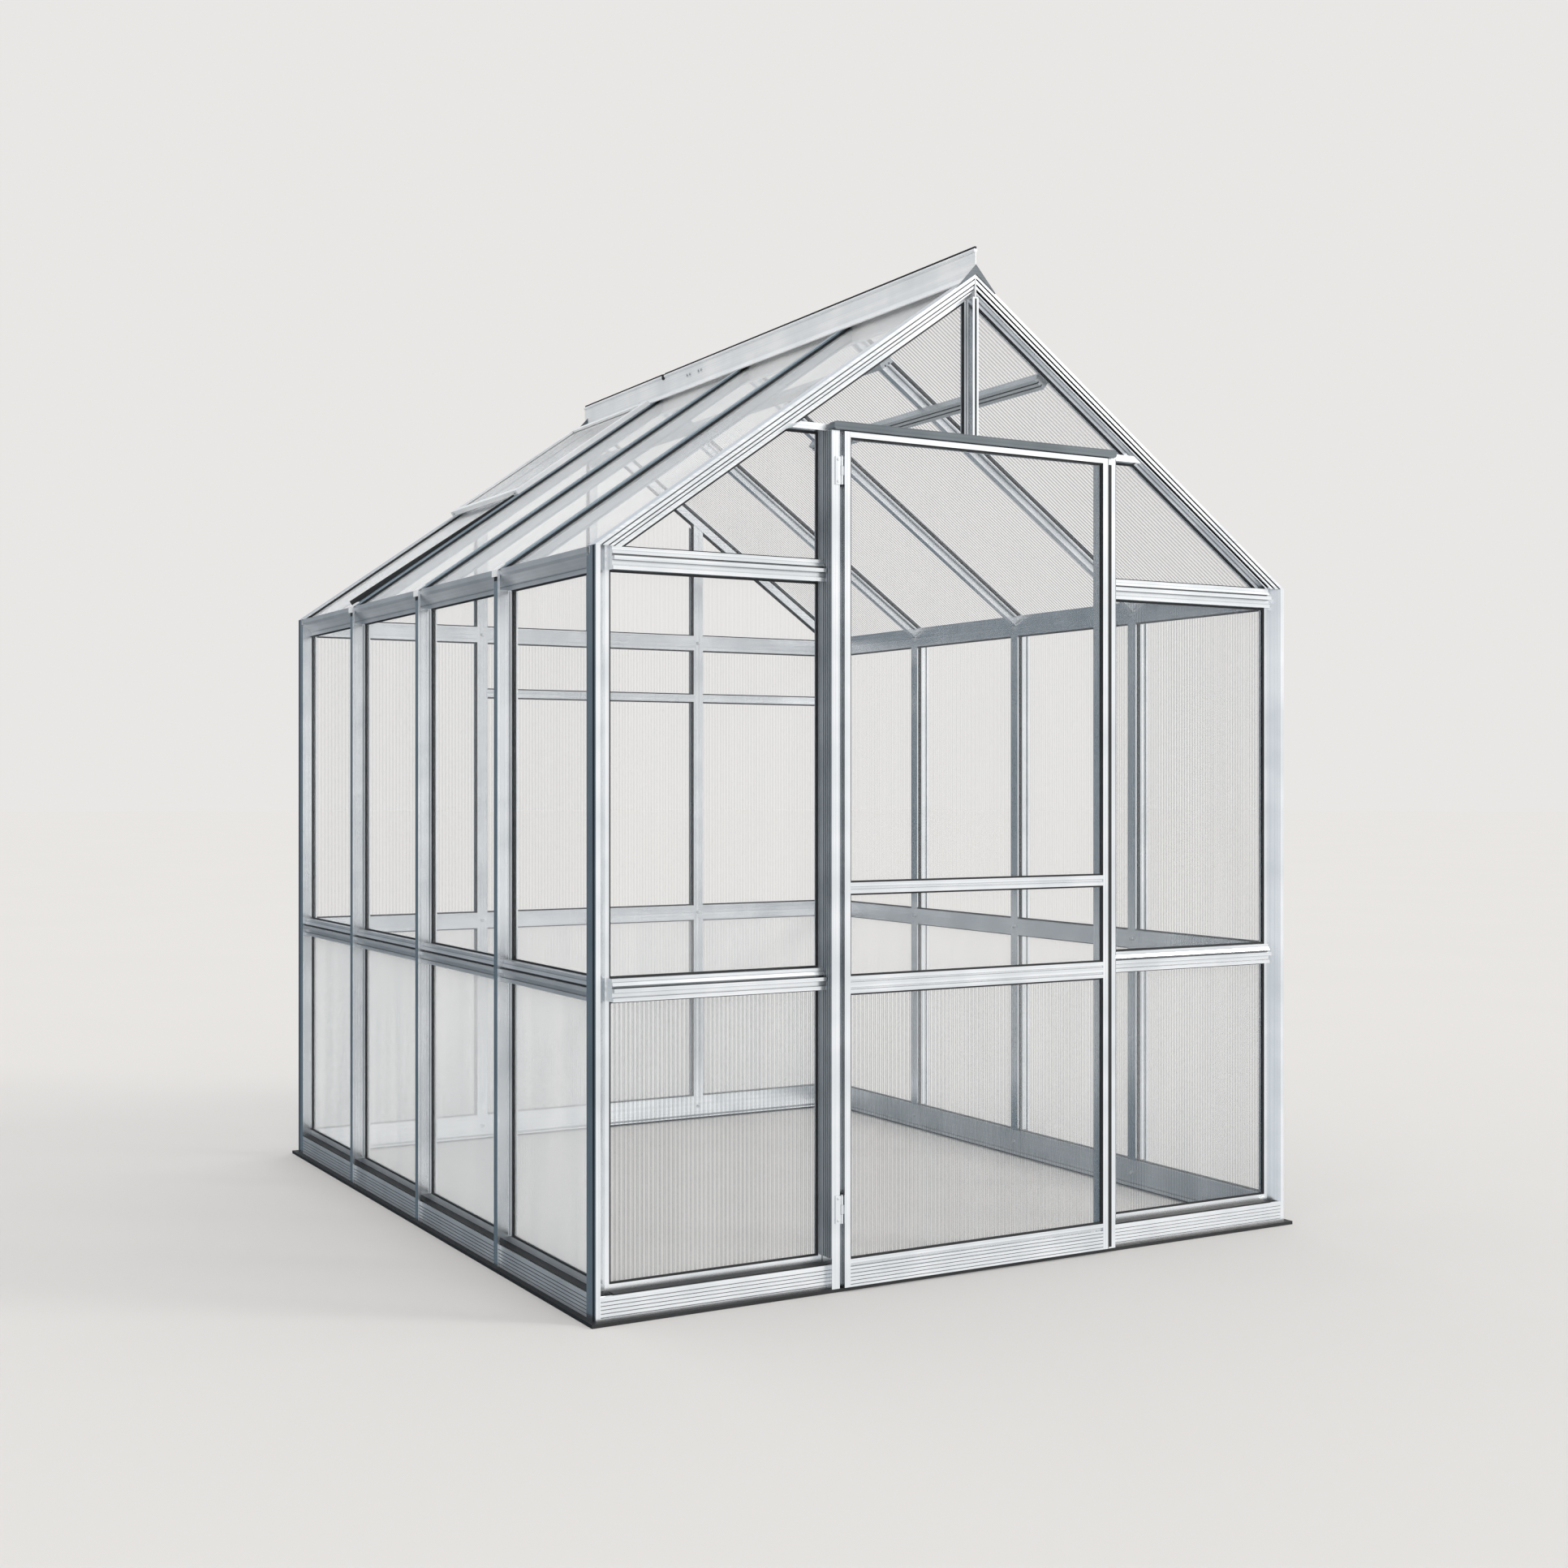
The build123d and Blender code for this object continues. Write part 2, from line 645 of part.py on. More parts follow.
# ------------------------------------------------------------------ roof bars, their end caps and the purlins
roof_bars = {}
for side in ("left", "right"):
    with BuildPart() as bars:
        for place in bar_places:
            with BuildSketch(roof_bar_plane(side, -rafter_depth)):
                bar_outline(ALONG[side] * place)
            extrude(amount=slope_length + 2 * rafter_depth)
        trim_to_slope(side)
        with BuildSketch(level(side, -side_run)):
            Polygon(
                (-rafter_depth, 0), (frame_depth, 0), (frame_depth, under_roof(frame_depth, -roof_pane_bottom)),
                (-rafter_depth, under_roof(-rafter_depth, -roof_pane_bottom)), align=None,
            )
            block((-rafter_depth, 0), (6, nose_top))
        extrude(amount=2 * side_run, mode=Mode.SUBTRACT)
        add(eave_beams[side], mode=Mode.SUBTRACT)
        add(ridge_beam.part, mode=Mode.SUBTRACT)
    roof_bars[side] = bars.part
    save(bars, f"roof_bars_{side}")

with BuildPart() as bar_end_caps:
    for side in ("left", "right"):
        for place in bar_places:
            with BuildSketch(level(side, place - bar_shelf_half)):
                Polygon(
                    (-10, under_roof(-10, -3)), (12, under_roof(12, -3)), (12, under_roof(12, 0)),
                    (-7, under_roof(-7, 0)), (-7, nose_top - 18), (-10, nose_top - 18), align=None,
                )
            extrude(amount=2 * bar_shelf_half)
save(bar_end_caps, "bar_end_caps")

purlin_middle = slope_length - purlin_from_ridge
purlin_end = half_length - frame_depth
with BuildPart() as purlins:
    for side, start, run in (
        ("left", -third_bar - bar_foot_half, purlin_end + third_bar + bar_foot_half),
        ("right", -purlin_end, purlin_end + middle_bar + bar_foot_half),
    ):
        with BuildSketch(roof_level_plane(side, start)):
            block(
                (purlin_middle - purlin_width / 2, -rafter_depth - purlin_depth),
                (purlin_middle + purlin_width / 2, -rafter_depth),
            )
            for groove in (-1, 1):
                middle = purlin_middle + groove * purlin_width / 6
                block(
                    (middle - 2, -rafter_depth - purlin_depth), (middle + 2, 5 - rafter_depth - purlin_depth),
                    mode=Mode.SUBTRACT,
                )
        extrude(amount=run)
save(purlins, "purlins")

# ------------------------------------------------------------------ nuts inside, where the rails cross the posts
with BuildPart() as frame_nuts:
    eave_nut_place = under_roof(frame_depth, rafter_depth) - nut_across / 2 - joint_gap
    for wall, places, top_nut in (
        ("left", bar_places, eave_nut_place), ("right", bar_places, eave_nut_place),
        ("back", (-back_post_offset, back_post_offset), rail_middle),
    ):
        for height in (base_nut_place, girt_middle, top_nut):
            with BuildSketch(facing(wall, frame_depth)):
                with Locations(*[(place, height) for place in places]):
                    RegularPolygon(nut_across / 2, 6, major_radius=False)
            extrude(amount=-nut_height)
            with BuildSketch(facing(wall, frame_depth + nut_height)):
                with Locations(*[(place, height) for place in places]):
                    Circle(bolt_radius)
            extrude(amount=-bolt_past_nut)
save(frame_nuts, "frame_nuts")

# ------------------------------------------------------------------ windows of the walls, as seen between the beads
bay_starts = [-side_run] + [place + side_post_half for place in bar_places]
bay_ends = [place - side_post_half for place in bar_places] + [side_run]
side_spans = list(zip(bay_starts, bay_ends))
lower_windows = [window(span, base_top, girt_low) for span in side_spans]
upper_windows = [window(span, girt_high, eave_bottom) for span in side_spans]

front_span = (-gable_run, -jamb_outer - jamb_bead)
front_windows = [window(front_span, base_top, girt_low), window(front_span, girt_high, eave_bottom)]
front_windows += [mirrored(corners) for corners in front_windows]

post_inner = back_post_offset - side_post_half
post_outer = back_post_offset + side_post_half
window_rail_low = window_rail_middle - window_rail_half
window_rail_high = window_rail_middle + window_rail_half
back_windows = [window((post_outer, gable_run), girt_high, eave_bottom)]
for span in ((-gable_run, -post_outer), (-post_inner, post_inner), (post_outer, gable_run)):
    back_windows.append(window(span, base_top, girt_low))
for span in ((-gable_run, -post_outer), (-post_inner, post_inner)):
    back_windows.append(window(span, girt_high, window_rail_low))
    back_windows.append(window(span, window_rail_high, eave_bottom))

jamb_edge = jamb_outer + jamb_bead
gable_front_windows = [
    [
        (-gable_reach(rail_top, rafter_depth), rail_top), (-jamb_edge, rail_top), (-jamb_edge, head_bottom),
        (-gable_reach(head_bottom, rafter_depth), head_bottom),
    ],
    [
        (-gable_reach(head_top, rafter_depth), head_top), (-mullion_half, head_top),
        (-mullion_half, gable_height(mullion_half, rafter_depth)),
    ],
]
gable_front_windows += [mirrored(corners) for corners in gable_front_windows]
gable_back_windows = [
    [
        (-gable_reach(rail_top, rafter_depth), rail_top), (-post_outer, rail_top),
        (-post_outer, gable_height(post_outer, rafter_depth)),
    ],
    [
        (-post_inner, rail_top), (-mullion_half, rail_top), (-mullion_half, gable_height(mullion_half, rafter_depth)),
        (-post_inner, gable_height(post_inner, rafter_depth)),
    ],
]
gable_back_windows += [mirrored(corners) for corners in gable_back_windows]

glazing = {
    "lower_panes_left": [("left", lower_windows)],
    "lower_panes_right": [("right", lower_windows)],
    "upper_panes_left": [("left", upper_windows)],
    "upper_panes_right": [("right", upper_windows)],
    "panes_front": [("front", front_windows)],
    "panes_back": [("back", back_windows)],
    "gable_panes": [("front", gable_front_windows), ("back", gable_back_windows)],
}
for name, groups in glazing.items():
    with BuildPart() as panes:
        for wall, windows in groups:
            for corners in windows:
                with BuildSketch(facing(wall, recess)):
                    Polygon(*corners, align=None)
                    offset(amount=pane_offset, kind=Kind.INTERSECTION)
                extrude(amount=-pane)
    save(panes, name)

# ------------------------------------------------------------------ roof panes
pane_top_edge = slope_length - roof_pane_end
hatch_edge = slope_length - trimmer_s - bar_web_half - pane_gap
bar_edge = bar_web_half + pane_gap
roof_edges = [-(half_length - recess)] + [place + bar_edge for place in bar_places]
roof_ends = [place - bar_edge for place in bar_places] + [half_length - recess]
for side in ("left", "right"):
    with BuildPart() as roof_panes:
        for step, (start, end) in enumerate(zip(roof_edges, roof_ends)):
            under_vent = side == "left" and step == 0
            top_edge = hatch_edge if under_vent else pane_top_edge
            with BuildSketch(roof_face(side, roof_pane_bottom)):
                block((start, roof_pane_start), (end, top_edge))
            extrude(amount=pane)
    save(roof_panes, f"roof_panes_{side}")

# ------------------------------------------------------------------ black glazing seals
seal_cover = bar_cap_half + 2.5
with BuildPart() as glazing_gaskets:
    for groups in glazing.values():
        for wall, windows in groups:
            for corners in windows:
                with BuildSketch(facing(wall, recess)):
                    Polygon(*corners, align=None)
                    offset(amount=-seal_width, kind=Kind.INTERSECTION, mode=Mode.SUBTRACT)
                extrude(amount=seal_depth)
    for side in ("left", "right"):
        for step in range(bay_count):
            top_edge = hatch_edge if side == "left" and step == 0 else pane_top_edge
            low = bar_places[step - 1] + bar_web_half if step else rafter_slot - half_length
            low_end = bar_places[step - 1] + seal_cover if step else frame_depth + 2 - half_length
            high = bar_places[step] - bar_web_half if step < bay_count - 1 else half_length - rafter_slot
            high_end = bar_places[step] - seal_cover if step < bay_count - 1 else half_length - frame_depth - 2
            with BuildSketch(roof_face(side, roof_pane_top)):
                block((low, roof_pane_start), (low_end, top_edge))
                block((high_end, roof_pane_start), (high, top_edge))
            extrude(amount=-cap_thickness - roof_pane_top)
    ledge = base_top - 17
    for wall, start, end in (
        ("left", -side_run, side_run), ("right", -side_run, side_run), ("back", -gable_run, gable_run),
        ("front", -gable_run, -jamb_outer), ("front", jamb_outer, gable_run),
    ):
        with BuildSketch(level(wall, start)):
            block((3, ledge), (bead_front, ledge + 2.5))
        extrude(amount=end - start)
    add(back_posts.part, mode=Mode.SUBTRACT)
    for gable in ("front", "back"):
        for side in ("left", "right"):
            groove = sorted(-run_of(side).Y * INWARD[gable].Y * (half_length - depth) for depth in groove_span)
            with BuildSketch(upright(side, 0, strip_height)):
                block((groove[0], 0), (groove[1], groove_depth))
            extrude(amount=rail_top - strip_height)
save(glazing_gaskets, "glazing_gaskets")

# ------------------------------------------------------------------ door leaf
front_face = -door_proud
back_face = leaf_thickness - door_proud
leaf_pane_front = leaf_pane_depth - door_proud
leaf_inner = leaf_half - stile_width
with BuildPart() as door_stiles:
    for hand in (-1, 1):
        with BuildSketch(upright("front", 0, leaf_bottom)):
            ends = pair(hand, leaf_inner, leaf_half)
            block((ends[0], front_face), (ends[1], back_face))
            ends = pair(hand, leaf_inner, leaf_inner + bite)
            block((ends[0], leaf_pane_front), (ends[1], leaf_pane_front + pane), mode=Mode.SUBTRACT)
        extrude(amount=leaf_top - leaf_bottom)
save(door_stiles, "door_stiles")

top_rail_low = leaf_top - top_rail_height
hand_rail_low, hand_rail_high = hand_rail_middle - hand_rail_half, hand_rail_middle + hand_rail_half
mid_rail_low, mid_rail_high = mid_rail_middle - mid_rail_half, mid_rail_middle + mid_rail_half

with BuildPart() as door_top_rail:
    with BuildSketch(level("front", -leaf_inner)):
        block((front_face, top_rail_low), (back_face, leaf_top))
        block((leaf_pane_front, top_rail_low), (leaf_pane_front + pane, top_rail_low + bite), mode=Mode.SUBTRACT)
    extrude(amount=2 * leaf_inner)
save(door_top_rail, "door_top_rail")

with BuildPart() as door_hand_rail:
    with BuildSketch(level("front", -leaf_inner)):
        block((front_face, hand_rail_low), (back_face, hand_rail_high))
        block((leaf_pane_front, hand_rail_low), (leaf_pane_front + pane, hand_rail_low + bite), mode=Mode.SUBTRACT)
        block((leaf_pane_front, hand_rail_high - bite), (leaf_pane_front + pane, hand_rail_high), mode=Mode.SUBTRACT)
        block((front_face, hand_rail_middle - 3), (front_face + 2, hand_rail_middle + 3), mode=Mode.SUBTRACT)
    extrude(amount=2 * leaf_inner)
save(door_hand_rail, "door_hand_rail")

with BuildPart() as door_mid_rail:
    with BuildSketch(level("front", -leaf_inner)):
        block((front_face, mid_rail_low), (back_face, mid_rail_high))
        block((leaf_pane_front, mid_rail_low), (leaf_pane_front + pane, mid_rail_low + bite), mode=Mode.SUBTRACT)
        block((leaf_pane_front, mid_rail_high - bite), (leaf_pane_front + pane, mid_rail_high), mode=Mode.SUBTRACT)
        for middle in (mid_rail_middle - 8, mid_rail_middle + 8):
            block((front_face, middle - 2.5), (front_face + 2, middle + 2.5), mode=Mode.SUBTRACT)
    extrude(amount=2 * leaf_inner)
save(door_mid_rail, "door_mid_rail")

with BuildPart() as door_kick_plate:
    with BuildSketch(level("front", -leaf_inner)):
        block((front_face, leaf_bottom), (back_face, kick_top))
        block((leaf_pane_front, kick_top - bite), (leaf_pane_front + pane, kick_top), mode=Mode.SUBTRACT)
        for rib in range(5):
            middle = leaf_bottom + 6 + rib * 8
            block((front_face, middle - 1), (front_face + 1.5, middle + 1), mode=Mode.SUBTRACT)
        block((front_face, kick_top - 17), (front_face + 4, kick_top - 9), mode=Mode.SUBTRACT)
    extrude(amount=2 * leaf_inner)
save(door_kick_plate, "door_kick_plate")

leaf_span = (-leaf_inner, leaf_inner)
leaf_windows = [
    window(leaf_span, kick_top, mid_rail_low),
    window(leaf_span, mid_rail_high, hand_rail_low),
    window(leaf_span, hand_rail_high, top_rail_low),
]
with BuildPart() as door_panes:
    for corners in leaf_windows:
        with BuildSketch(facing("front", leaf_pane_front)):
            Polygon(*corners, align=None)
            offset(amount=pane_offset, kind=Kind.INTERSECTION)
        extrude(amount=-pane)
save(door_panes, "door_panes")

with BuildPart() as door_gaskets:
    for corners in leaf_windows:
        with BuildSketch(facing("front", leaf_pane_front)):
            Polygon(*corners, align=None)
            offset(amount=-seal_width, kind=Kind.INTERSECTION, mode=Mode.SUBTRACT)
        extrude(amount=seal_depth)
save(door_gaskets, "door_gaskets")

# ------------------------------------------------------------------ door hinges
bore_radius = hinge_pin_radius + hinge_clearance
jamb_face_y = -half_length - jamb_proud
with BuildPart() as door_hinge_brackets:
    for middle in hinge_heights:
        plate_low = middle - 1.5 * knuckle_height - knuckle_gap
        with BuildSketch(Plane.XY.offset(plate_low)):
            block((-opening_half - 12, jamb_face_y - 3), (-opening_half, jamb_face_y))
        extrude(amount=3 * knuckle_height + 2 * knuckle_gap)
        for step in (-1, 1):
            with BuildSketch(Plane.XY.offset(middle + step * knuckle_step - knuckle_height / 2)):
                block((-opening_half, jamb_face_y - 3), (hinge_x, jamb_face_y))
                with Locations((hinge_x, hinge_y)):
                    Circle(knuckle_radius)
                    Circle(bore_radius, mode=Mode.SUBTRACT)
            extrude(amount=knuckle_height)
save(door_hinge_brackets, "door_hinge_brackets")

with BuildPart() as door_hinge_knuckles:
    for middle in hinge_heights:
        with BuildSketch(Plane.XY.offset(middle - knuckle_height / 2)):
            block((hinge_x, hinge_y - 2), (-leaf_half, hinge_y + 2))
            with Locations((hinge_x, hinge_y)):
                Circle(knuckle_radius)
                Circle(bore_radius, mode=Mode.SUBTRACT)
        extrude(amount=knuckle_height)
save(door_hinge_knuckles, "door_hinge_knuckles")

with BuildPart() as door_hinge_pins:
    for middle in hinge_heights:
        pin_low = middle - 1.5 * knuckle_height - knuckle_gap
        pin_length = 3 * knuckle_height + 3 * knuckle_gap
        with BuildSketch(Plane.XY.offset(pin_low)):
            with Locations((hinge_x, hinge_y)):
                Circle(hinge_pin_radius)
        extrude(amount=pin_length)
        with BuildSketch(Plane.XY.offset(pin_low + pin_length)):
            with Locations((hinge_x, hinge_y)):
                Circle(knuckle_radius - 0.4)
        extrude(amount=1.5)
save(door_hinge_pins, "door_hinge_pins")

# ------------------------------------------------------------------ roof vent
def from_apex(distance):
    """Length up the left slope for a distance below the apex."""
    return slope_length - distance


vent_hinge = (from_apex(vent_axis_s), vent_axis_n)
rod_low = vent_low + vent_rod_inset
rod_high = vent_high - vent_rod_inset
lug_radius = 4.0
rod_bore = vent_rod_radius + hinge_clearance

with BuildPart() as vent_trimmer:
    with BuildSketch(roof_level_plane("left", rafter_slot - half_length)):
        middle = from_apex(trimmer_s)
        block((middle - bar_cap_half, -cap_thickness), (middle + bar_cap_half, 0))
        block((middle - bar_web_half, -30), (middle + bar_web_half, 0))
        block(
            (middle - bar_shelf_half, roof_pane_bottom - thin_wall), (middle + bar_web_half, roof_pane_bottom),
        )
    extrude(amount=half_length - rafter_slot - third_bar)
    add(roof_bars["left"], mode=Mode.SUBTRACT)
    add(rafters["back", "left"], mode=Mode.SUBTRACT)
save(vent_trimmer, "vent_trimmer")

turned = radians(vent_travel)
arm_s = stay_pivot_s - vent_axis_s
arm_n = stay_pivot_n - vent_axis_n
open_s = vent_axis_s + arm_s * cos(turned) - arm_n * sin(turned)
open_n = vent_axis_n + arm_s * sin(turned) + arm_n * cos(turned)
stay_angle = radians(180 + vent_travel * (1 + stay_ratio))
catch_s = open_s + stay_reach * cos(stay_angle)
catch_n = open_n + stay_reach * sin(stay_angle)
with BuildPart() as vent_brackets:
    for place in (rod_low + 3 * lug_thickness, rod_high - 3 * lug_thickness):
        with BuildSketch(roof_level_plane("left", -place - lug_thickness / 2)):
            block((from_apex(vent_axis_s), wing_thickness), (from_apex(38), vent_axis_n + lug_radius))
            with Locations(vent_hinge):
                Circle(lug_radius)
                Circle(rod_bore, mode=Mode.SUBTRACT)
        extrude(amount=lug_thickness)
    with BuildSketch(roof_level_plane("left", -stay_along - 11)):
        block((from_apex(trimmer_s - bar_web_half), catch_n - 5), (from_apex(catch_s + 4), catch_n + 5))
        with Locations((from_apex(catch_s + 4), catch_n)):
            Circle(5)
        with Locations((from_apex(catch_s), catch_n)):
            Circle(hinge_pin_radius + 0.2, mode=Mode.SUBTRACT)
    extrude(amount=lug_thickness)
save(vent_brackets, "vent_brackets")

with BuildPart() as vent_hinge_rod:
    with BuildSketch(roof_level_plane("left", -rod_high)):
        with Locations(vent_hinge):
            Circle(vent_rod_radius)
    extrude(amount=rod_high - rod_low)
save(vent_hinge_rod, "vent_hinge_rod")

pane_low_n = vent_rest_gap + 3.5
slot_high_n = pane_low_n + vent_pane
inner_low = vent_low + vent_bar
inner_high = vent_high - vent_bar
with BuildPart() as vent_sash:
    with BuildSketch(roof_bar_plane("left", from_apex(vent_bottom_s))):
        block((vent_low, vent_rest_gap), (inner_low, vent_height))
        block((inner_high, vent_rest_gap), (vent_high, vent_height))
        block((inner_low - bite, pane_low_n), (inner_low, slot_high_n), mode=Mode.SUBTRACT)
        block((inner_high, pane_low_n), (inner_high + bite, slot_high_n), mode=Mode.SUBTRACT)
    extrude(amount=vent_bottom_s - vent_top_s)
    with BuildSketch(roof_level_plane("left", joint_gap - inner_high)):
        top_inner = vent_top_s + vent_bar
        bottom_inner = vent_bottom_s - vent_bar
        block((from_apex(top_inner), vent_rest_gap), (from_apex(vent_top_s), vent_height))
        block((from_apex(vent_bottom_s), vent_rest_gap), (from_apex(bottom_inner), vent_height))
        block((from_apex(top_inner), pane_low_n), (from_apex(top_inner - bite), slot_high_n), mode=Mode.SUBTRACT)
        block((from_apex(bottom_inner + bite), pane_low_n), (from_apex(bottom_inner), slot_high_n), mode=Mode.SUBTRACT)
    extrude(amount=inner_high - inner_low - 2 * joint_gap)
    for place in (rod_low + 5 * lug_thickness, rod_high - 5 * lug_thickness):
        with BuildSketch(roof_level_plane("left", -place - lug_thickness / 2)):
            block((from_apex(vent_top_s), vent_axis_n - lug_radius), (from_apex(vent_axis_s), vent_axis_n + lug_radius))
            with Locations(vent_hinge):
                Circle(lug_radius)
                Circle(rod_bore, mode=Mode.SUBTRACT)
        extrude(amount=lug_thickness)
    with BuildSketch(roof_level_plane("left", 3 - stay_along)):
        block((from_apex(stay_pivot_s + 4), stay_pivot_n - 4), (from_apex(stay_pivot_s - 4), pane_low_n))
        block((from_apex(bottom_inner), vent_rest_gap), (from_apex(stay_pivot_s - 4), pane_low_n))
        with Locations((from_apex(stay_pivot_s), stay_pivot_n)):
            Circle(bore_radius, mode=Mode.SUBTRACT)
    extrude(amount=stay_thickness)
    for start, radius, reach in (
        (-stay_along - 2.2 - 1.5, 3.5, 1.5), (-stay_along - 2.2, hinge_pin_radius, 9.25), (7.05 - stay_along, 3.5, 1.5),
    ):
        with BuildSketch(roof_level_plane("left", start)):
            with Locations((from_apex(stay_pivot_s), stay_pivot_n)):
                Circle(radius)
        extrude(amount=reach)
save(vent_sash, "vent_sash")

with BuildPart() as vent_pane_sheet:
    with BuildSketch(roof_face("left", pane_low_n)):
        block(
            (-inner_high - pane_offset, from_apex(bottom_inner + pane_offset)),
            (-inner_low + pane_offset, from_apex(top_inner - pane_offset)),
        )
    extrude(amount=vent_pane)
save(vent_pane_sheet, "vent_pane")

with BuildPart() as vent_stay:
    with BuildSketch(roof_level_plane("left", -stay_along - stay_thickness / 2)):
        with Locations((from_apex(stay_pivot_s - stay_reach / 2), stay_pivot_n)):
            SlotCenterToCenter(stay_reach, 2 * stay_radius)
        with Locations((from_apex(stay_pivot_s), stay_pivot_n)):
            Circle(bore_radius, mode=Mode.SUBTRACT)
        with Locations(*[(from_apex(stay_pivot_s - stay_reach + 60 * hole), stay_pivot_n) for hole in range(4)]):
            Circle(hinge_pin_radius + 0.2, mode=Mode.SUBTRACT)
    extrude(amount=stay_thickness)
save(vent_stay, "vent_stay")
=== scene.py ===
"""Looks of the walk-in greenhouse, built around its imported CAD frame.

The aluminium sections, seals and strips keep their CAD meshes and get their finishes here.
Every pane is rebuilt as a hollow twin-wall sheet with real webs, and the small fixings are added.
"""

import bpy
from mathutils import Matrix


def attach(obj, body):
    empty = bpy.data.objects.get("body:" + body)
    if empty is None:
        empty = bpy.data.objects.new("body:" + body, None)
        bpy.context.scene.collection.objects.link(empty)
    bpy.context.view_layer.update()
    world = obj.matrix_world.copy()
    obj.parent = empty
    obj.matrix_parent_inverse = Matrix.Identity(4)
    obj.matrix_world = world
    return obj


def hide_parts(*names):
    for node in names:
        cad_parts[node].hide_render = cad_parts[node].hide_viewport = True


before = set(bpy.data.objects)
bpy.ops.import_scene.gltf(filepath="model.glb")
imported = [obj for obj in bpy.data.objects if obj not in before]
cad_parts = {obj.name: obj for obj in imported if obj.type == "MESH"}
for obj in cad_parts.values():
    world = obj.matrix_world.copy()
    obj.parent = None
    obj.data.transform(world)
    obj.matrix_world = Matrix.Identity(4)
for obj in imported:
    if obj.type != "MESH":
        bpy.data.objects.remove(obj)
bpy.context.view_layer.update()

import logging
import math
from collections.abc import Iterable
from dataclasses import dataclass, field
from enum import Enum

import bmesh
import bpy
from mathutils import Matrix, Vector

log = logging.getLogger("greenhouse")

MM = 0.001
# roof slope, from its rise and its run in millimetres
PITCH = math.atan2(675.0, 950.0)
# outer lower edge of the right roof slope; the left slope mirrors it
EAVE = Vector((0.950, 0.0, 1.605))
# middles of the glazing bars along the length
BAR_PLACES = (-0.5425, 0.0, 0.5425)
# outer faces of the gable frames, before and behind the middle
GABLE = 1.085
UP = Vector((0, 0, 1))
LEFT, RIGHT = Vector((-1, 0, 0)), Vector((1, 0, 0))
FRONT, BACK = Vector((0, -1, 0)), Vector((0, 1, 0))


# --------------------------------------------------------------------- small helpers
def linear(code: str) -> tuple[float, float, float, float]:
    """Turns an sRGB hex colour into linear RGBA.

    Args:
        code: colour such as "#D7DADC".

    Returns:
        Linear red, green and blue, then an alpha of 1.
    """
    channels = [int(code[i:i + 2], 16) / 255 for i in (1, 3, 5)]
    turned = [c / 12.92 if c <= 0.04045 else ((c + 0.055) / 1.055) ** 2.4 for c in channels]
    return (*turned, 1.0)


def add_node(
    tree: bpy.types.NodeTree, kind: str, inputs: dict | None = None, **settings: object,
) -> bpy.types.Node:
    """Adds one node to a node tree.

    Args:
        tree: node tree that gets the node.
        kind: Blender's name for the node type.
        inputs: socket name or number to a value, or to an output socket that is linked to it.
        settings: attributes of the node itself.

    Returns:
        The new node.
    """
    node = tree.nodes.new(kind)
    for name, value in settings.items():
        setattr(node, name, value)
    for name, value in (inputs or {}).items():
        if isinstance(value, bpy.types.NodeSocket):
            tree.links.new(value, node.inputs[name])
        else:
            node.inputs[name].default_value = value
    return node


def ramp(
    tree: bpy.types.NodeTree, fac: bpy.types.NodeSocket, stops: Iterable[tuple[float, tuple]],
) -> bpy.types.NodeSocket:
    """Adds a colour ramp.

    Args:
        tree: node tree of the material.
        fac: socket that drives the ramp.
        stops: place and linear colour of each stop, in rising order.

    Returns:
        The ramp's colour output.
    """
    node = add_node(tree, "ShaderNodeValToRGB", {"Fac": fac})
    elements = node.color_ramp.elements
    for index, (place, colour) in enumerate(stops):
        element = elements[index] if index < 2 else elements.new(place)
        element.position = place
        element.color = colour
    return node.outputs["Color"]


def noise(
    tree: bpy.types.NodeTree, place: bpy.types.NodeSocket, scale: float, detail: float = 2.0,
) -> bpy.types.NodeSocket:
    """Adds a noise texture and returns its value."""
    node = add_node(tree, "ShaderNodeTexNoise", {"Vector": place, "Scale": scale, "Detail": detail})
    return node.outputs["Fac"]


def spread(
    tree: bpy.types.NodeTree, value: bpy.types.NodeSocket, low: float, high: float,
) -> bpy.types.NodeSocket:
    """Maps a value that runs from 0 to 1 onto another range."""
    node = add_node(tree, "ShaderNodeMapRange", {"Value": value, "To Min": low, "To Max": high})
    return node.outputs["Result"]


def new_tree(name: str) -> tuple[bpy.types.Material, bpy.types.NodeTree, bpy.types.Node]:
    """Makes an empty node material with its Principled shader wired to the output."""
    material = bpy.data.materials.new(name)
    material.use_nodes = True
    tree = material.node_tree
    tree.nodes.clear()
    shader = tree.nodes.new("ShaderNodeBsdfPrincipled")
    output = tree.nodes.new("ShaderNodeOutputMaterial")
    tree.links.new(shader.outputs["BSDF"], output.inputs["Surface"])
    return material, tree, shader


class Grain(Enum):
    """Way a section was drawn through its die, as the turn that brings +Z onto it."""

    UPRIGHT = (0.0, 0.0, 0.0)
    ACROSS = (0.0, math.pi / 2, 0.0)
    ALONG = (math.pi / 2, 0.0, 0.0)
    LEFT_SLOPE = (0.0, math.pi / 2 - PITCH, 0.0)
    RIGHT_SLOPE = (0.0, PITCH - math.pi / 2, 0.0)


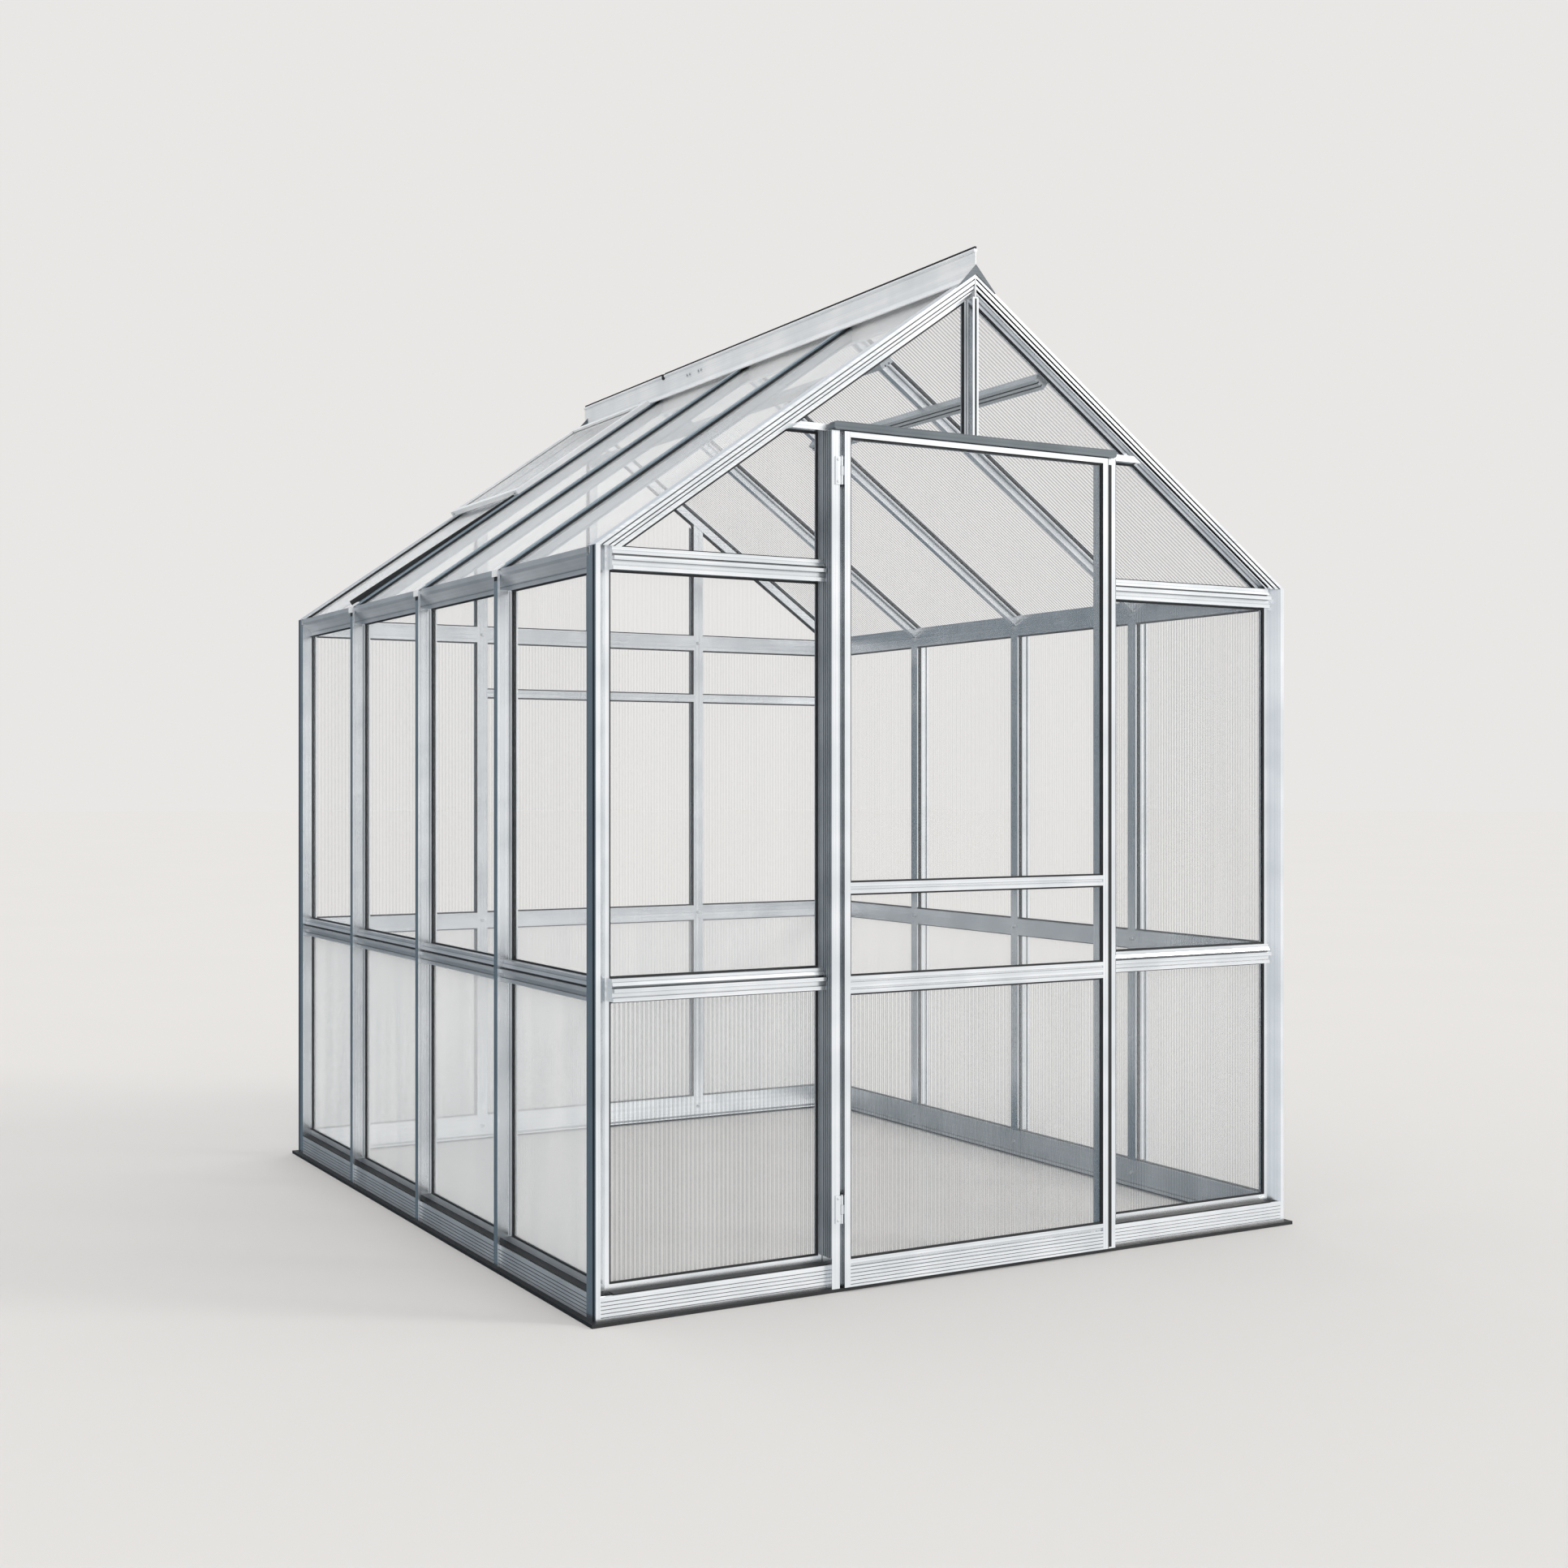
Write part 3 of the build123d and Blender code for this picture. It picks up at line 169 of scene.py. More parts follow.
# --------------------------------------------------------------------- finishes
@dataclass(frozen=True)
class AnodisedAluminium:
    """Extruded aluminium, satin anodised: soft metal sheen, die lines along the section, and painted shade
    darkening its narrow grooves.
    """

    name: str
    grain: Grain
    light: str = "#E9EBED"
    shade: str = "#D3D7DA"
    # colour of the painted shade in narrow grooves
    groove_shade: str = "#24282C"
    roughness: float = 0.24
    metallic: float = 1.0

    def material(self) -> bpy.types.Material:
        """Builds the material once for its grain direction."""
        label = f"{self.name}_{self.grain.name.lower()}"
        if label in bpy.data.materials:
            return bpy.data.materials[label]
        material, tree, shader = new_tree(label)
        place = add_node(tree, "ShaderNodeTexCoord").outputs["Object"]
        # die lines: 0.2 mm apart on the real section, drawn 3 mm apart so that they show
        turned = {"Vector": place, "Rotation": self.grain.value, "Scale": (3 * MM, 3 * MM, 2.4)}
        stretched = add_node(tree, "ShaderNodeMapping", turned, vector_type="TEXTURE").outputs["Vector"]
        lines = noise(tree, stretched, 1.0, 3.0)
        # cloudy tone of the anodising bath, about 120 mm across
        cloud = noise(tree, place, 8.0)
        tone = add_node(tree, "ShaderNodeMath", {0: lines, 1: cloud}, operation="MULTIPLY").outputs[0]
        body = ramp(tree, tone, ((0.12, linear(self.shade)), (0.36, linear(self.light))))
        # painted shade: grooves and joints narrower than about 8 mm turn towards the shade colour
        seams = add_node(
            tree, "ShaderNodeAmbientOcclusion", {"Distance": 8 * MM}, samples=8, only_local=True,
        ).outputs["AO"]
        # mask of the painted groove shade, taken from the occlusion
        depth = ramp(tree, seams, ((0.30, (0, 0, 0, 1)), (0.78, (1, 1, 1, 1))))
        colour = add_node(
            tree, "ShaderNodeMix", {"Factor": depth, 6: linear(self.groove_shade), 7: body}, data_type="RGBA",
        ).outputs[2]
        tree.links.new(colour, shader.inputs["Base Color"])
        shine = spread(tree, lines, self.roughness - 0.03, self.roughness + 0.05)
        tree.links.new(shine, shader.inputs["Roughness"])
        shader.inputs["Metallic"].default_value = self.metallic
        bump = add_node(tree, "ShaderNodeBump", {"Height": lines, "Strength": 0.05, "Distance": 0.0004})
        tree.links.new(bump.outputs["Normal"], shader.inputs["Normal"])
        return material


@dataclass(frozen=True)
class PolycarbonateSheet:
    """Extruded twin-wall polycarbonate: clear skins with a faint haze, and webs that read as fine lines."""

    name: str
    skin_alpha: float
    web_alpha: float
    skin_light: str = "#F2F5F7"
    skin_shade: str = "#E2E8EC"
    web_light: str = "#8E979D"
    web_shade: str = "#5E676D"
    roughness: float = 0.16
    ior: float = 1.585
    specular: float = 0.5

    def material(self, web: bool) -> bpy.types.Material:
        """Builds the material of the skins, or of the webs."""
        label = f"{self.name}_{'webs' if web else 'skins'}"
        if label in bpy.data.materials:
            return bpy.data.materials[label]
        material, tree, shader = new_tree(label)
        place = add_node(tree, "ShaderNodeTexCoord").outputs["Object"]
        # flow marks of the extruded sheet, about 60 mm across and drawn out along the webs
        drawn = add_node(
            tree, "ShaderNodeMapping", {"Vector": place, "Scale": (0.06, 0.06, 0.6)}, vector_type="TEXTURE",
        ).outputs["Vector"]
        flow = noise(tree, drawn, 1.0, 4.0)
        light, shade = (self.web_light, self.web_shade) if web else (self.skin_light, self.skin_shade)
        colour = ramp(tree, flow, ((0.35, linear(shade)), (0.65, linear(light))))
        tree.links.new(colour, shader.inputs["Base Color"])
        shine = spread(tree, flow, self.roughness - 0.05, self.roughness + 0.10)
        tree.links.new(shine, shader.inputs["Roughness"])
        bump = add_node(tree, "ShaderNodeBump", {"Height": flow, "Strength": 0.05, "Distance": 0.002})
        tree.links.new(bump.outputs["Normal"], shader.inputs["Normal"])
        shader.inputs["IOR"].default_value = self.ior
        shader.inputs["Specular IOR Level"].default_value = self.specular
        shader.inputs["Alpha"].default_value = self.web_alpha if web else self.skin_alpha
        return material


@dataclass(frozen=True)
class SealRubber:
    """EPDM glazing seal: matt black, slightly dusty, with a fine skin."""

    name: str = "epdm_seal_rubber"
    dark: str = "#101214"
    dusty: str = "#2B2E31"
    grit: float = 0.004

    def material(self) -> bpy.types.Material:
        """Builds the material once."""
        if self.name in bpy.data.materials:
            return bpy.data.materials[self.name]
        material, tree, shader = new_tree(self.name)
        place = add_node(tree, "ShaderNodeTexCoord").outputs["Object"]
        # grit of a few millimetres, drawn coarser than real dust, over clouds about 170 mm across
        dust = noise(tree, place, 1 / self.grit, 3.0)
        wide = noise(tree, place, 6.0)
        mixed = add_node(tree, "ShaderNodeMath", {0: dust, 1: wide}, operation="MULTIPLY").outputs[0]
        colour = ramp(tree, mixed, ((0.2, linear(self.dark)), (0.5, linear(self.dusty))))
        tree.links.new(colour, shader.inputs["Base Color"])
        tree.links.new(spread(tree, dust, 0.45, 0.75), shader.inputs["Roughness"])
        bump = add_node(tree, "ShaderNodeBump", {"Height": dust, "Strength": 0.25, "Distance": 0.0005})
        tree.links.new(bump.outputs["Normal"], shader.inputs["Normal"])
        return material


@dataclass(frozen=True)
class ZincSteel:
    """Zinc-plated steel: bluish bright metal with a cloudy, slightly spangled tone."""

    name: str = "zinc_plated_steel"
    light: str = "#C2C7CB"
    shade: str = "#8C9297"

    def material(self) -> bpy.types.Material:
        """Builds the material once."""
        if self.name in bpy.data.materials:
            return bpy.data.materials[self.name]
        material, tree, shader = new_tree(self.name)
        place = add_node(tree, "ShaderNodeTexCoord").outputs["Object"]
        # zinc spangles, about 4 mm across
        cells = add_node(tree, "ShaderNodeTexVoronoi", {"Vector": place, "Scale": 260.0}).outputs["Distance"]
        colour = ramp(tree, cells, ((0.1, linear(self.shade)), (0.7, linear(self.light))))
        tree.links.new(colour, shader.inputs["Base Color"])
        tree.links.new(spread(tree, cells, 0.25, 0.45), shader.inputs["Roughness"])
        shader.inputs["Metallic"].default_value = 1.0
        bump = add_node(tree, "ShaderNodeBump", {"Height": cells, "Strength": 0.1, "Distance": 0.0003})
        tree.links.new(bump.outputs["Normal"], shader.inputs["Normal"])
        return material


@dataclass(frozen=True)
class StudioPaint:
    """Matt off-white paper of the studio floor."""

    name: str = "studio_paper"
    light: str = "#D7D5D3"
    shade: str = "#D6D4D2"

    def material(self) -> bpy.types.Material:
        """Builds the material once."""
        material, tree, shader = new_tree(self.name)
        place = add_node(tree, "ShaderNodeTexCoord").outputs["Object"]
        # faint unevenness of the paper, about 1.4 m across
        cloud = noise(tree, place, 0.7)
        colour = ramp(tree, cloud, ((0.3, linear(self.shade)), (0.7, linear(self.light))))
        tree.links.new(colour, shader.inputs["Base Color"])
        shader.inputs["Roughness"].default_value = 0.9
        shader.inputs["Specular IOR Level"].default_value = 0.0
        return material


# --------------------------------------------------------------------- meshes
def mesh_object(
    name: str, build: bmesh.types.BMesh, materials: Iterable[bpy.types.Material], body: str,
) -> bpy.types.Object:
    """Turns a bmesh into an object that rides on a CAD body.

    Args:
        name: object name.
        build: finished bmesh in metres; it is freed.
        materials: materials in slot order.
        body: CAD body that carries the piece.

    Returns:
        The new object.
    """
    mesh = bpy.data.meshes.new(name)
    build.to_mesh(mesh)
    build.free()
    for material in materials:
        mesh.materials.append(material)
    piece = bpy.data.objects.new(name, mesh)
    bpy.context.scene.collection.objects.link(piece)
    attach(piece, body)
    return piece


def islands(node: str) -> list[bmesh.types.BMesh]:
    """Splits a copy of a CAD node's mesh into its separate solids.

    Args:
        node: name of the CAD node.

    Returns:
        One merged bmesh for each solid, with its normals outward.
    """
    whole = bmesh.new()
    whole.from_mesh(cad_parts[node].data)
    bmesh.ops.remove_doubles(whole, verts=whole.verts, dist=1e-5)
    whole.verts.ensure_lookup_table()
    found, seen = [], set()
    for start in whole.verts:
        if start.index in seen:
            continue
        group, queue = set(), [start]
        while queue:
            vert = queue.pop()
            if vert.index in group:
                continue
            group.add(vert.index)
            queue.extend(edge.other_vert(vert) for edge in vert.link_edges)
        seen |= group
        part = whole.copy()
        part.verts.ensure_lookup_table()
        bmesh.ops.delete(part, geom=[v for v in part.verts if v.index not in group], context="VERTS")
        bmesh.ops.recalc_face_normals(part, faces=part.faces)
        found.append(part)
    whole.free()
    return found


@dataclass
class TwinWallPanes:
    """All panes of one CAD node, rebuilt as hollow twin-wall sheets.

    Each sheet fills the box of its CAD solid and is cut back along the solid's slanted edges. Panes whose
    middle is below low_line or right of right_line take the low finish, where there is one.
    """

    node: str
    body: str
    normal: Vector
    webs_run: Vector
    finish: PolycarbonateSheet
    low_finish: PolycarbonateSheet | None = None
    low_line: float = 0.70
    right_line: float = 9.0
    pitch: float = 10.5 * MM
    # the real webs are 0.5 mm thick; they are drawn wider so that they show
    web: float = 1.8 * MM
    skin: float = 0.6 * MM

    def build(self) -> bpy.types.Object:
        """Builds the node's sheets as one object that stands for it."""
        sheets = bmesh.new()
        for solid in islands(self.node):
            sheet = self.sheet(solid)
            middle = sum((vert.co for vert in solid.verts), Vector()) / len(solid.verts)
            if self.low_finish and (middle.z < self.low_line or middle.x > self.right_line):
                for face in sheet.faces:
                    face.material_index += 2
            scratch = bpy.data.meshes.new("scratch")
            sheet.to_mesh(scratch)
            sheets.from_mesh(scratch)
            bpy.data.meshes.remove(scratch)
            sheet.free()
            solid.free()
        finishes = [finish for finish in (self.finish, self.low_finish) if finish]
        materials = [finish.material(web) for finish in finishes for web in (False, True)]
        piece = mesh_object(f"{self.node}_sheets", sheets, materials, self.body)
        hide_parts(self.node)
        return piece

    def sheet(self, solid: bmesh.types.BMesh) -> bmesh.types.BMesh:
        """Builds one hollow sheet inside a CAD pane.

        Args:
            solid: merged mesh of the CAD pane.

        Returns:
            The sheet, with its webs in material 1.
        """
        across = self.webs_run.cross(self.normal).normalized()
        axes = (across, self.normal, self.webs_run)
        reaches = [[vert.co @ axis for vert in solid.verts] for axis in axes]
        (left, right), (back, front), (low, high) = [(min(reach), max(reach)) for reach in reaches]
        count = max(2, round((right - left - self.web) / self.pitch))
        step = (right - left - self.web) / count
        columns = []
        for index in range(count + 1):
            columns += [left + index * step, left + index * step + self.web]
        rows = [back, back + self.skin, front - self.skin, front]
        spaces, layers = len(columns) - 1, len(rows) - 1
        sheet = bmesh.new()
        bmesh.ops.create_grid(sheet, x_segments=spaces, y_segments=layers, size=0.5)
        for vert in sheet.verts:
            column = round((vert.co.x + 0.5) * spaces)
            row = round((vert.co.y + 0.5) * layers)
            vert.co = across * columns[column] + self.normal * rows[row] + self.webs_run * low
        channels = []
        for face in sheet.faces:
            middle = face.calc_center_median()
            in_channel = (middle @ across - left) % step > self.web
            if in_channel and rows[1] < middle @ self.normal < rows[2]:
                channels.append(face)
        bmesh.ops.delete(sheet, geom=channels, context="FACES")
        floor = list(sheet.faces)
        grown = bmesh.ops.extrude_face_region(sheet, geom=floor, use_keep_orig=True)
        moved = [item for item in grown["geom"] if isinstance(item, bmesh.types.BMVert)]
        bmesh.ops.translate(sheet, verts=moved, vec=self.webs_run * (high - low))
        self.cut_back(sheet, solid, axes)
        bmesh.ops.recalc_face_normals(sheet, faces=sheet.faces)
        for face in sheet.faces:
            # only the faces that lie in the sheet carry the web material, so that slanting views stay clear
            offset = (face.calc_center_median() @ across - left) % step
            on_web = offset <= self.web * 1.01 or offset >= step - self.web * 0.01
            face.material_index = int(on_web and abs(face.normal @ self.normal) > 0.9)
        return sheet

    @staticmethod
    def cut_back(
        sheet: bmesh.types.BMesh, solid: bmesh.types.BMesh, axes: tuple[Vector, Vector, Vector],
    ) -> None:
        """Cuts a sheet along each slanted edge of its CAD pane and closes the cut.

        Args:
            sheet: sheet that is cut.
            solid: merged mesh of the CAD pane.
            axes: directions across the webs, through the sheet and along the webs.
        """
        done: list[Vector] = []
        for face in solid.faces:
            if max(abs(face.normal @ axis) for axis in axes) > 0.999:
                continue
            if any((face.normal - other).length < 0.01 for other in done):
                continue
            done.append(face.normal.copy())
            cut = bmesh.ops.bisect_plane(
                sheet, geom=sheet.verts[:] + sheet.edges[:] + sheet.faces[:], dist=1e-7,
                plane_co=face.calc_center_median(), plane_no=face.normal, clear_outer=True,
            )
            rim = [item for item in cut["geom_cut"] if isinstance(item, bmesh.types.BMEdge)]
            bmesh.ops.triangle_fill(sheet, use_beauty=True, use_dissolve=False, edges=rim, normal=face.normal)


@dataclass
class Fixings:
    """Screws and bolts that hold the sections together."""

    steel: ZincSteel = field(default_factory=ZincSteel)
    segments: int = 20
    # shape of a head: top against rim, edge and socket depth against height, socket against radius
    crown: float = 0.86
    edge: float = 0.3
    socket: float = 0.40
    socket_wall: float = 0.03
    socket_depth: float = 0.45
    # door head: one screw at each end
    head_out: float = 0.402
    head_level: float = 1.8935
    # foot of the front mullion
    mullion_out: float = 0.011
    mullion_setback: float = 0.026
    mullion_level: float = 1.913
    # hinge brackets of the door: two screws on each
    hinge_out: float = -0.380
    hinge_stand_off: float = 0.019
    hinge_levels: tuple[float, ...] = (0.181, 1.798)
    hinge_step: float = 0.024
    # bolts through the standing web of the ridge
    ridge_places: tuple[float, ...] = (0.278, 0.296, 0.350, 0.368)
    ridge_web_half: float = 0.0015
    ridge_level: float = 2.3105

    def screw(
        self, build: bmesh.types.BMesh, place: Vector, facing: Vector, radius: float, height: float,
    ) -> None:
        """Adds a pan-head screw with a round socket.

        Args:
            build: bmesh that gets the screw.
            place: centre of the head where it meets the section.
            facing: direction that the head looks.
            radius: head radius.
            height: head height.
        """
        turn = facing.to_track_quat("Z", "Y").to_matrix().to_4x4()
        made = bmesh.ops.create_cone(
            build, cap_ends=True, cap_tris=False, segments=self.segments, radius1=radius,
            radius2=radius * self.crown, depth=height,
            matrix=Matrix.Translation(place + facing * height / 2) @ turn,
        )
        verts = set(made["verts"])
        faces = {face for vert in verts for face in vert.link_faces}
        top = max(faces, key=lambda face: face.calc_center_median() @ facing)
        bmesh.ops.bevel(
            build, geom=list(top.edges), offset=height * self.edge, offset_type="OFFSET", segments=2,
            profile=0.5, affect="EDGES", material=-1,
        )
        near = [
            face for face in build.faces
            if face.is_valid and (face.calc_center_median() - place).length < radius * 1.5
        ]
        top = max(near, key=lambda face: (round(face.calc_center_median() @ facing, 6), face.calc_area()))
        bmesh.ops.inset_region(build, faces=[top], thickness=radius * self.socket, depth=0.0)
        bmesh.ops.inset_region(
            build, faces=[top], thickness=radius * self.socket_wall, depth=-height * self.socket_depth,
        )

    def build(self) -> None:
        """Builds the screws of the door head, the mullion, the hinge brackets and the ridge."""
        build = bmesh.new()
        for side in (-1, 1):
            place = Vector((side * self.head_out, -GABLE, self.head_level))
            self.screw(build, place, FRONT, 3.2 * MM, 2.0 * MM)
        place = Vector((self.mullion_out, -GABLE + self.mullion_setback, self.mullion_level))
        self.screw(build, place, FRONT, 2.4 * MM, 1.8 * MM)
        for level in self.hinge_levels:
            for step in (-self.hinge_step, self.hinge_step):
                place = Vector((self.hinge_out, -GABLE - self.hinge_stand_off, level + step))
                self.screw(build, place, FRONT, 3.0 * MM, 1.6 * MM)
        for along in self.ridge_places:
            for hand in (-1, 1):
                place = Vector((hand * self.ridge_web_half, along, self.ridge_level))
                self.screw(build, place, Vector((hand, 0, 0)), 5.0 * MM, 3.0 * MM)
        mesh_object("section_screws", build, (self.steel.material(),), "frame")
        log.info("built section_screws")


@dataclass(frozen=True)
class Block:
    """Soft-edged block between two corners; its top can be lower at the far end along X."""

    low: tuple[float, float, float]
    high: tuple[float, float, float]
    radius: float
    taper: float = 0.0

    def add(self, build: bmesh.types.BMesh, turn: Matrix) -> None:
        """Adds the block to a bmesh, turned by a matrix."""
        low, high = Vector(self.low), Vector(self.high)
        made = bmesh.ops.create_cube(build, size=1.0)
        fitted = Matrix.Translation((low + high) / 2) @ Matrix.Diagonal((*(high - low), 1))
        bmesh.ops.transform(build, verts=made["verts"], matrix=fitted)
        for vert in made["verts"]:
            if vert.co.x > high.x - self.radius and vert.co.z > high.z - self.radius:
                vert.co.z -= self.taper
        edges = list({edge for vert in made["verts"] for edge in vert.link_edges})
        rounded = bmesh.ops.bevel(
            build, geom=edges, offset=self.radius, offset_type="OFFSET", segments=2, profile=0.5,
            affect="EDGES", material=-1,
        )
        verts = {vert for face in rounded["faces"] for vert in face.verts}
        bmesh.ops.transform(build, verts=list(verts), matrix=turn)


@dataclass
class RubberPieces:
    """Soft black pieces that the sections hold.

    The plugs sit in the eave beams below the glazing bars. The strip lies beside the vent's bay and is given
    in the frame of the left slope: up the slope, along the length and out of the slope. The bead lies on the
    ridge, with a sleeve on it, and a black fill in the gap on the closing side of the door paints the shade
    of that gap.
    """

    rubber: SealRubber = field(default_factory=SealRubber)
    plug_out: tuple[float, float] = (0.9502, 0.9575)
    plug_half: float = 0.008
    plug_levels: tuple[float, float] = (1.5765, 1.5965)
    plug_radius: float = 0.0015
    # a black strip along the side of the vent's bay, given in the frame of the left slope
    strip: Block = Block((0.004, 0.5550, -0.0095), (0.590, 0.5640, 0.0150), 0.0012, 0.010)
    ridge: tuple[Block, ...] = (
        Block((-0.0065, 0.520, 2.3255), (0.0065, 0.534, 2.3420), 0.003),
        Block((-0.0030, -1.0850, 2.3370), (0.0030, 0.519, 2.3440), 0.0012),
        Block((-0.0030, 0.5350, 2.3370), (0.0030, 1.105, 2.3440), 0.0012),
    )
    # black blocks that fill the door's closing gap: painted shade of that gap
    door_gap: tuple[Block, ...] = (
        Block((0.3675, -1.1000, 0.0130), (0.3738, -1.0920, 1.8830), 0.0015),
        Block((0.3670, -1.1078, 0.0130), (0.3780, -1.1012, 1.8700), 0.0015),
    )

    def plugs(self) -> tuple[Block, ...]:
        """Places one plug at each glazing bar on both sides."""
        found = []
        for hand in (-1, 1):
            for place in BAR_PLACES:
                inner, outer = sorted(hand * out for out in self.plug_out)
                low = (inner, place - self.plug_half, self.plug_levels[0])
                high = (outer, place + self.plug_half, self.plug_levels[1])
                found.append(Block(low, high, self.plug_radius))
        return tuple(found)

    def build(self) -> None:
        """Builds the rubber pieces of the frame."""
        still = Matrix.Identity(4)
        up_left = Matrix.Translation((-EAVE.x, 0, EAVE.z)) @ Matrix.Rotation(-PITCH, 4, "Y")
        pieces = (
            ("eave_plugs", self.plugs(), still), ("rear_bay_draught_strip", (self.strip,), up_left),
            ("ridge_bead_and_sleeve", self.ridge, still), ("closing_side_seal", self.door_gap, still),
        )
        for name, blocks, turn in pieces:
            build = bmesh.new()
            for block in blocks:
                block.add(build, turn)
            mesh_object(name, build, (self.rubber.material(),), "frame")
            log.info("built %s", name)


# --------------------------------------------------------------------- sub-assemblies
def assign(node: str, material: bpy.types.Material) -> None:
    """Puts one material on every slot of a CAD node."""
    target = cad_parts[node]
    if not target.material_slots:
        target.data.materials.append(material)
    for holder in target.material_slots:
        holder.material = material


@dataclass
class Sections:
    """Aluminium sections that keep their CAD meshes: each node with its finish and its die direction."""

    satin: tuple[tuple[Grain, tuple[str, ...]], ...] = (
        (Grain.UPRIGHT, (
            "corner_post_front_left", "corner_post_front_right", "corner_post_back_left",
            "corner_post_back_right", "side_posts_left", "side_posts_right", "back_posts",
            "door_jamb_hinge_side", "door_jamb_closing_side", "gable_mullions", "door_stiles",
            "door_hinge_brackets", "door_hinge_knuckles",
        )),
        (Grain.ACROSS, (
            "base_rails_gables", "gable_rails", "girts_gables", "back_window_rail", "door_head", "door_sill",
            "door_top_rail", "door_hand_rail", "door_mid_rail", "door_kick_plate", "gable_rafters_front",
            "gable_rafters_back",
        )),
        (Grain.ALONG, ("eave_beam_right", "girts_right", "vent_trimmer")),
        (Grain.LEFT_SLOPE, ("vent_brackets",)),
        (Grain.RIGHT_SLOPE, ("roof_bars_right",)),
    )

    def dress(self) -> None:
        """Gives every section its finish."""
        dark = {"light": "#6C757B", "shade": "#525B61", "groove_shade": "#15181A", "roughness": 0.34, "metallic": 0.2}
        # the jamb liners are a dark strip beside the hinge-side jamb that paints the shade in its recess;
        # they take a lighter copy of the dark tones
        liner = dark | {"light": "#8F979D", "shade": "#747C82"}
        grey = {"light": "#BCC2C6", "shade": "#9FA7AC", "metallic": 0.3}
        # the girts and eave beam of the left wall and both base rails take a greyer, duller copy of the satin
        # finish
        soft = {"light": "#C6CBD0", "shade": "#B2B8BD", "roughness": 0.34, "metallic": 0.55}
        # darker blue-grey tones for the bars of the left roof slope: painted shade of that slope
        slope_shade = {"light": "#92A2AE", "shade": "#7F909C", "roughness": 0.34, "metallic": 0.3}
        # a pale, nearly matt copy of the satin finish: on the ridge beam it is painted light, standing in for
        # the brightness the metal loses by mirroring the dark drapes; the vent sash and the bar end caps
        # share it
        pale = {"light": "#F1F2F3", "shade": "#DDE1E4", "roughness": 0.4, "metallic": 0.1}
        greyed_members = ("girts_left", "base_rail_left", "base_rail_right", "eave_beam_left")
        plan = [("satin_anodised_aluminium", grain, {}, nodes) for grain, nodes in self.satin]
        plan += [
            ("liner_anodised_aluminium", Grain.UPRIGHT, liner, ("jamb_liners",)),
            ("grey_anodised_aluminium", Grain.ALONG, grey, ("purlins",)),
            # dark tones: on the door's drip cap they paint the shade under its projecting lip; the ridge end
            # plates take the same tones
            ("dark_anodised_aluminium", Grain.ACROSS, dark, ("door_drip_cap", "ridge_end_plates")),
            ("weather_side_aluminium", Grain.ALONG, soft, greyed_members),
            ("shaded_slope_aluminium", Grain.LEFT_SLOPE, slope_shade, ("roof_bars_left",)),
            ("pale_coated_aluminium", Grain.ALONG, pale, ("ridge_beam",)),
            ("pale_coated_aluminium", Grain.LEFT_SLOPE, pale, ("vent_sash",)),
            ("pale_coated_aluminium", Grain.ACROSS, pale, ("bar_end_caps",)),
        ]
        for name, grain, look, nodes in plan:
            material = AnodisedAluminium(name, grain, **look).material()
            for node in nodes:
                assign(node, material)
        log.info("dressed the aluminium sections")


@dataclass
class Trims:
    """Rubber, plastic and steel nodes that keep their CAD meshes."""

    rubber: SealRubber = field(default_factory=SealRubber)
    plastic: SealRubber = SealRubber("black_pvc_strip", "#0E0F10", "#202224", 0.006)
    steel: ZincSteel = field(default_factory=ZincSteel)

    def dress(self) -> None:
        """Gives the trims their finishes."""
        assign("ground_strip", self.plastic.material())
        for node in ("glazing_gaskets", "door_gaskets"):
            assign(node, self.rubber.material())
        for node in ("door_hinge_pins", "vent_hinge_rod", "frame_nuts", "vent_stay"):
            assign(node, self.steel.material())
        log.info("dressed the trims")


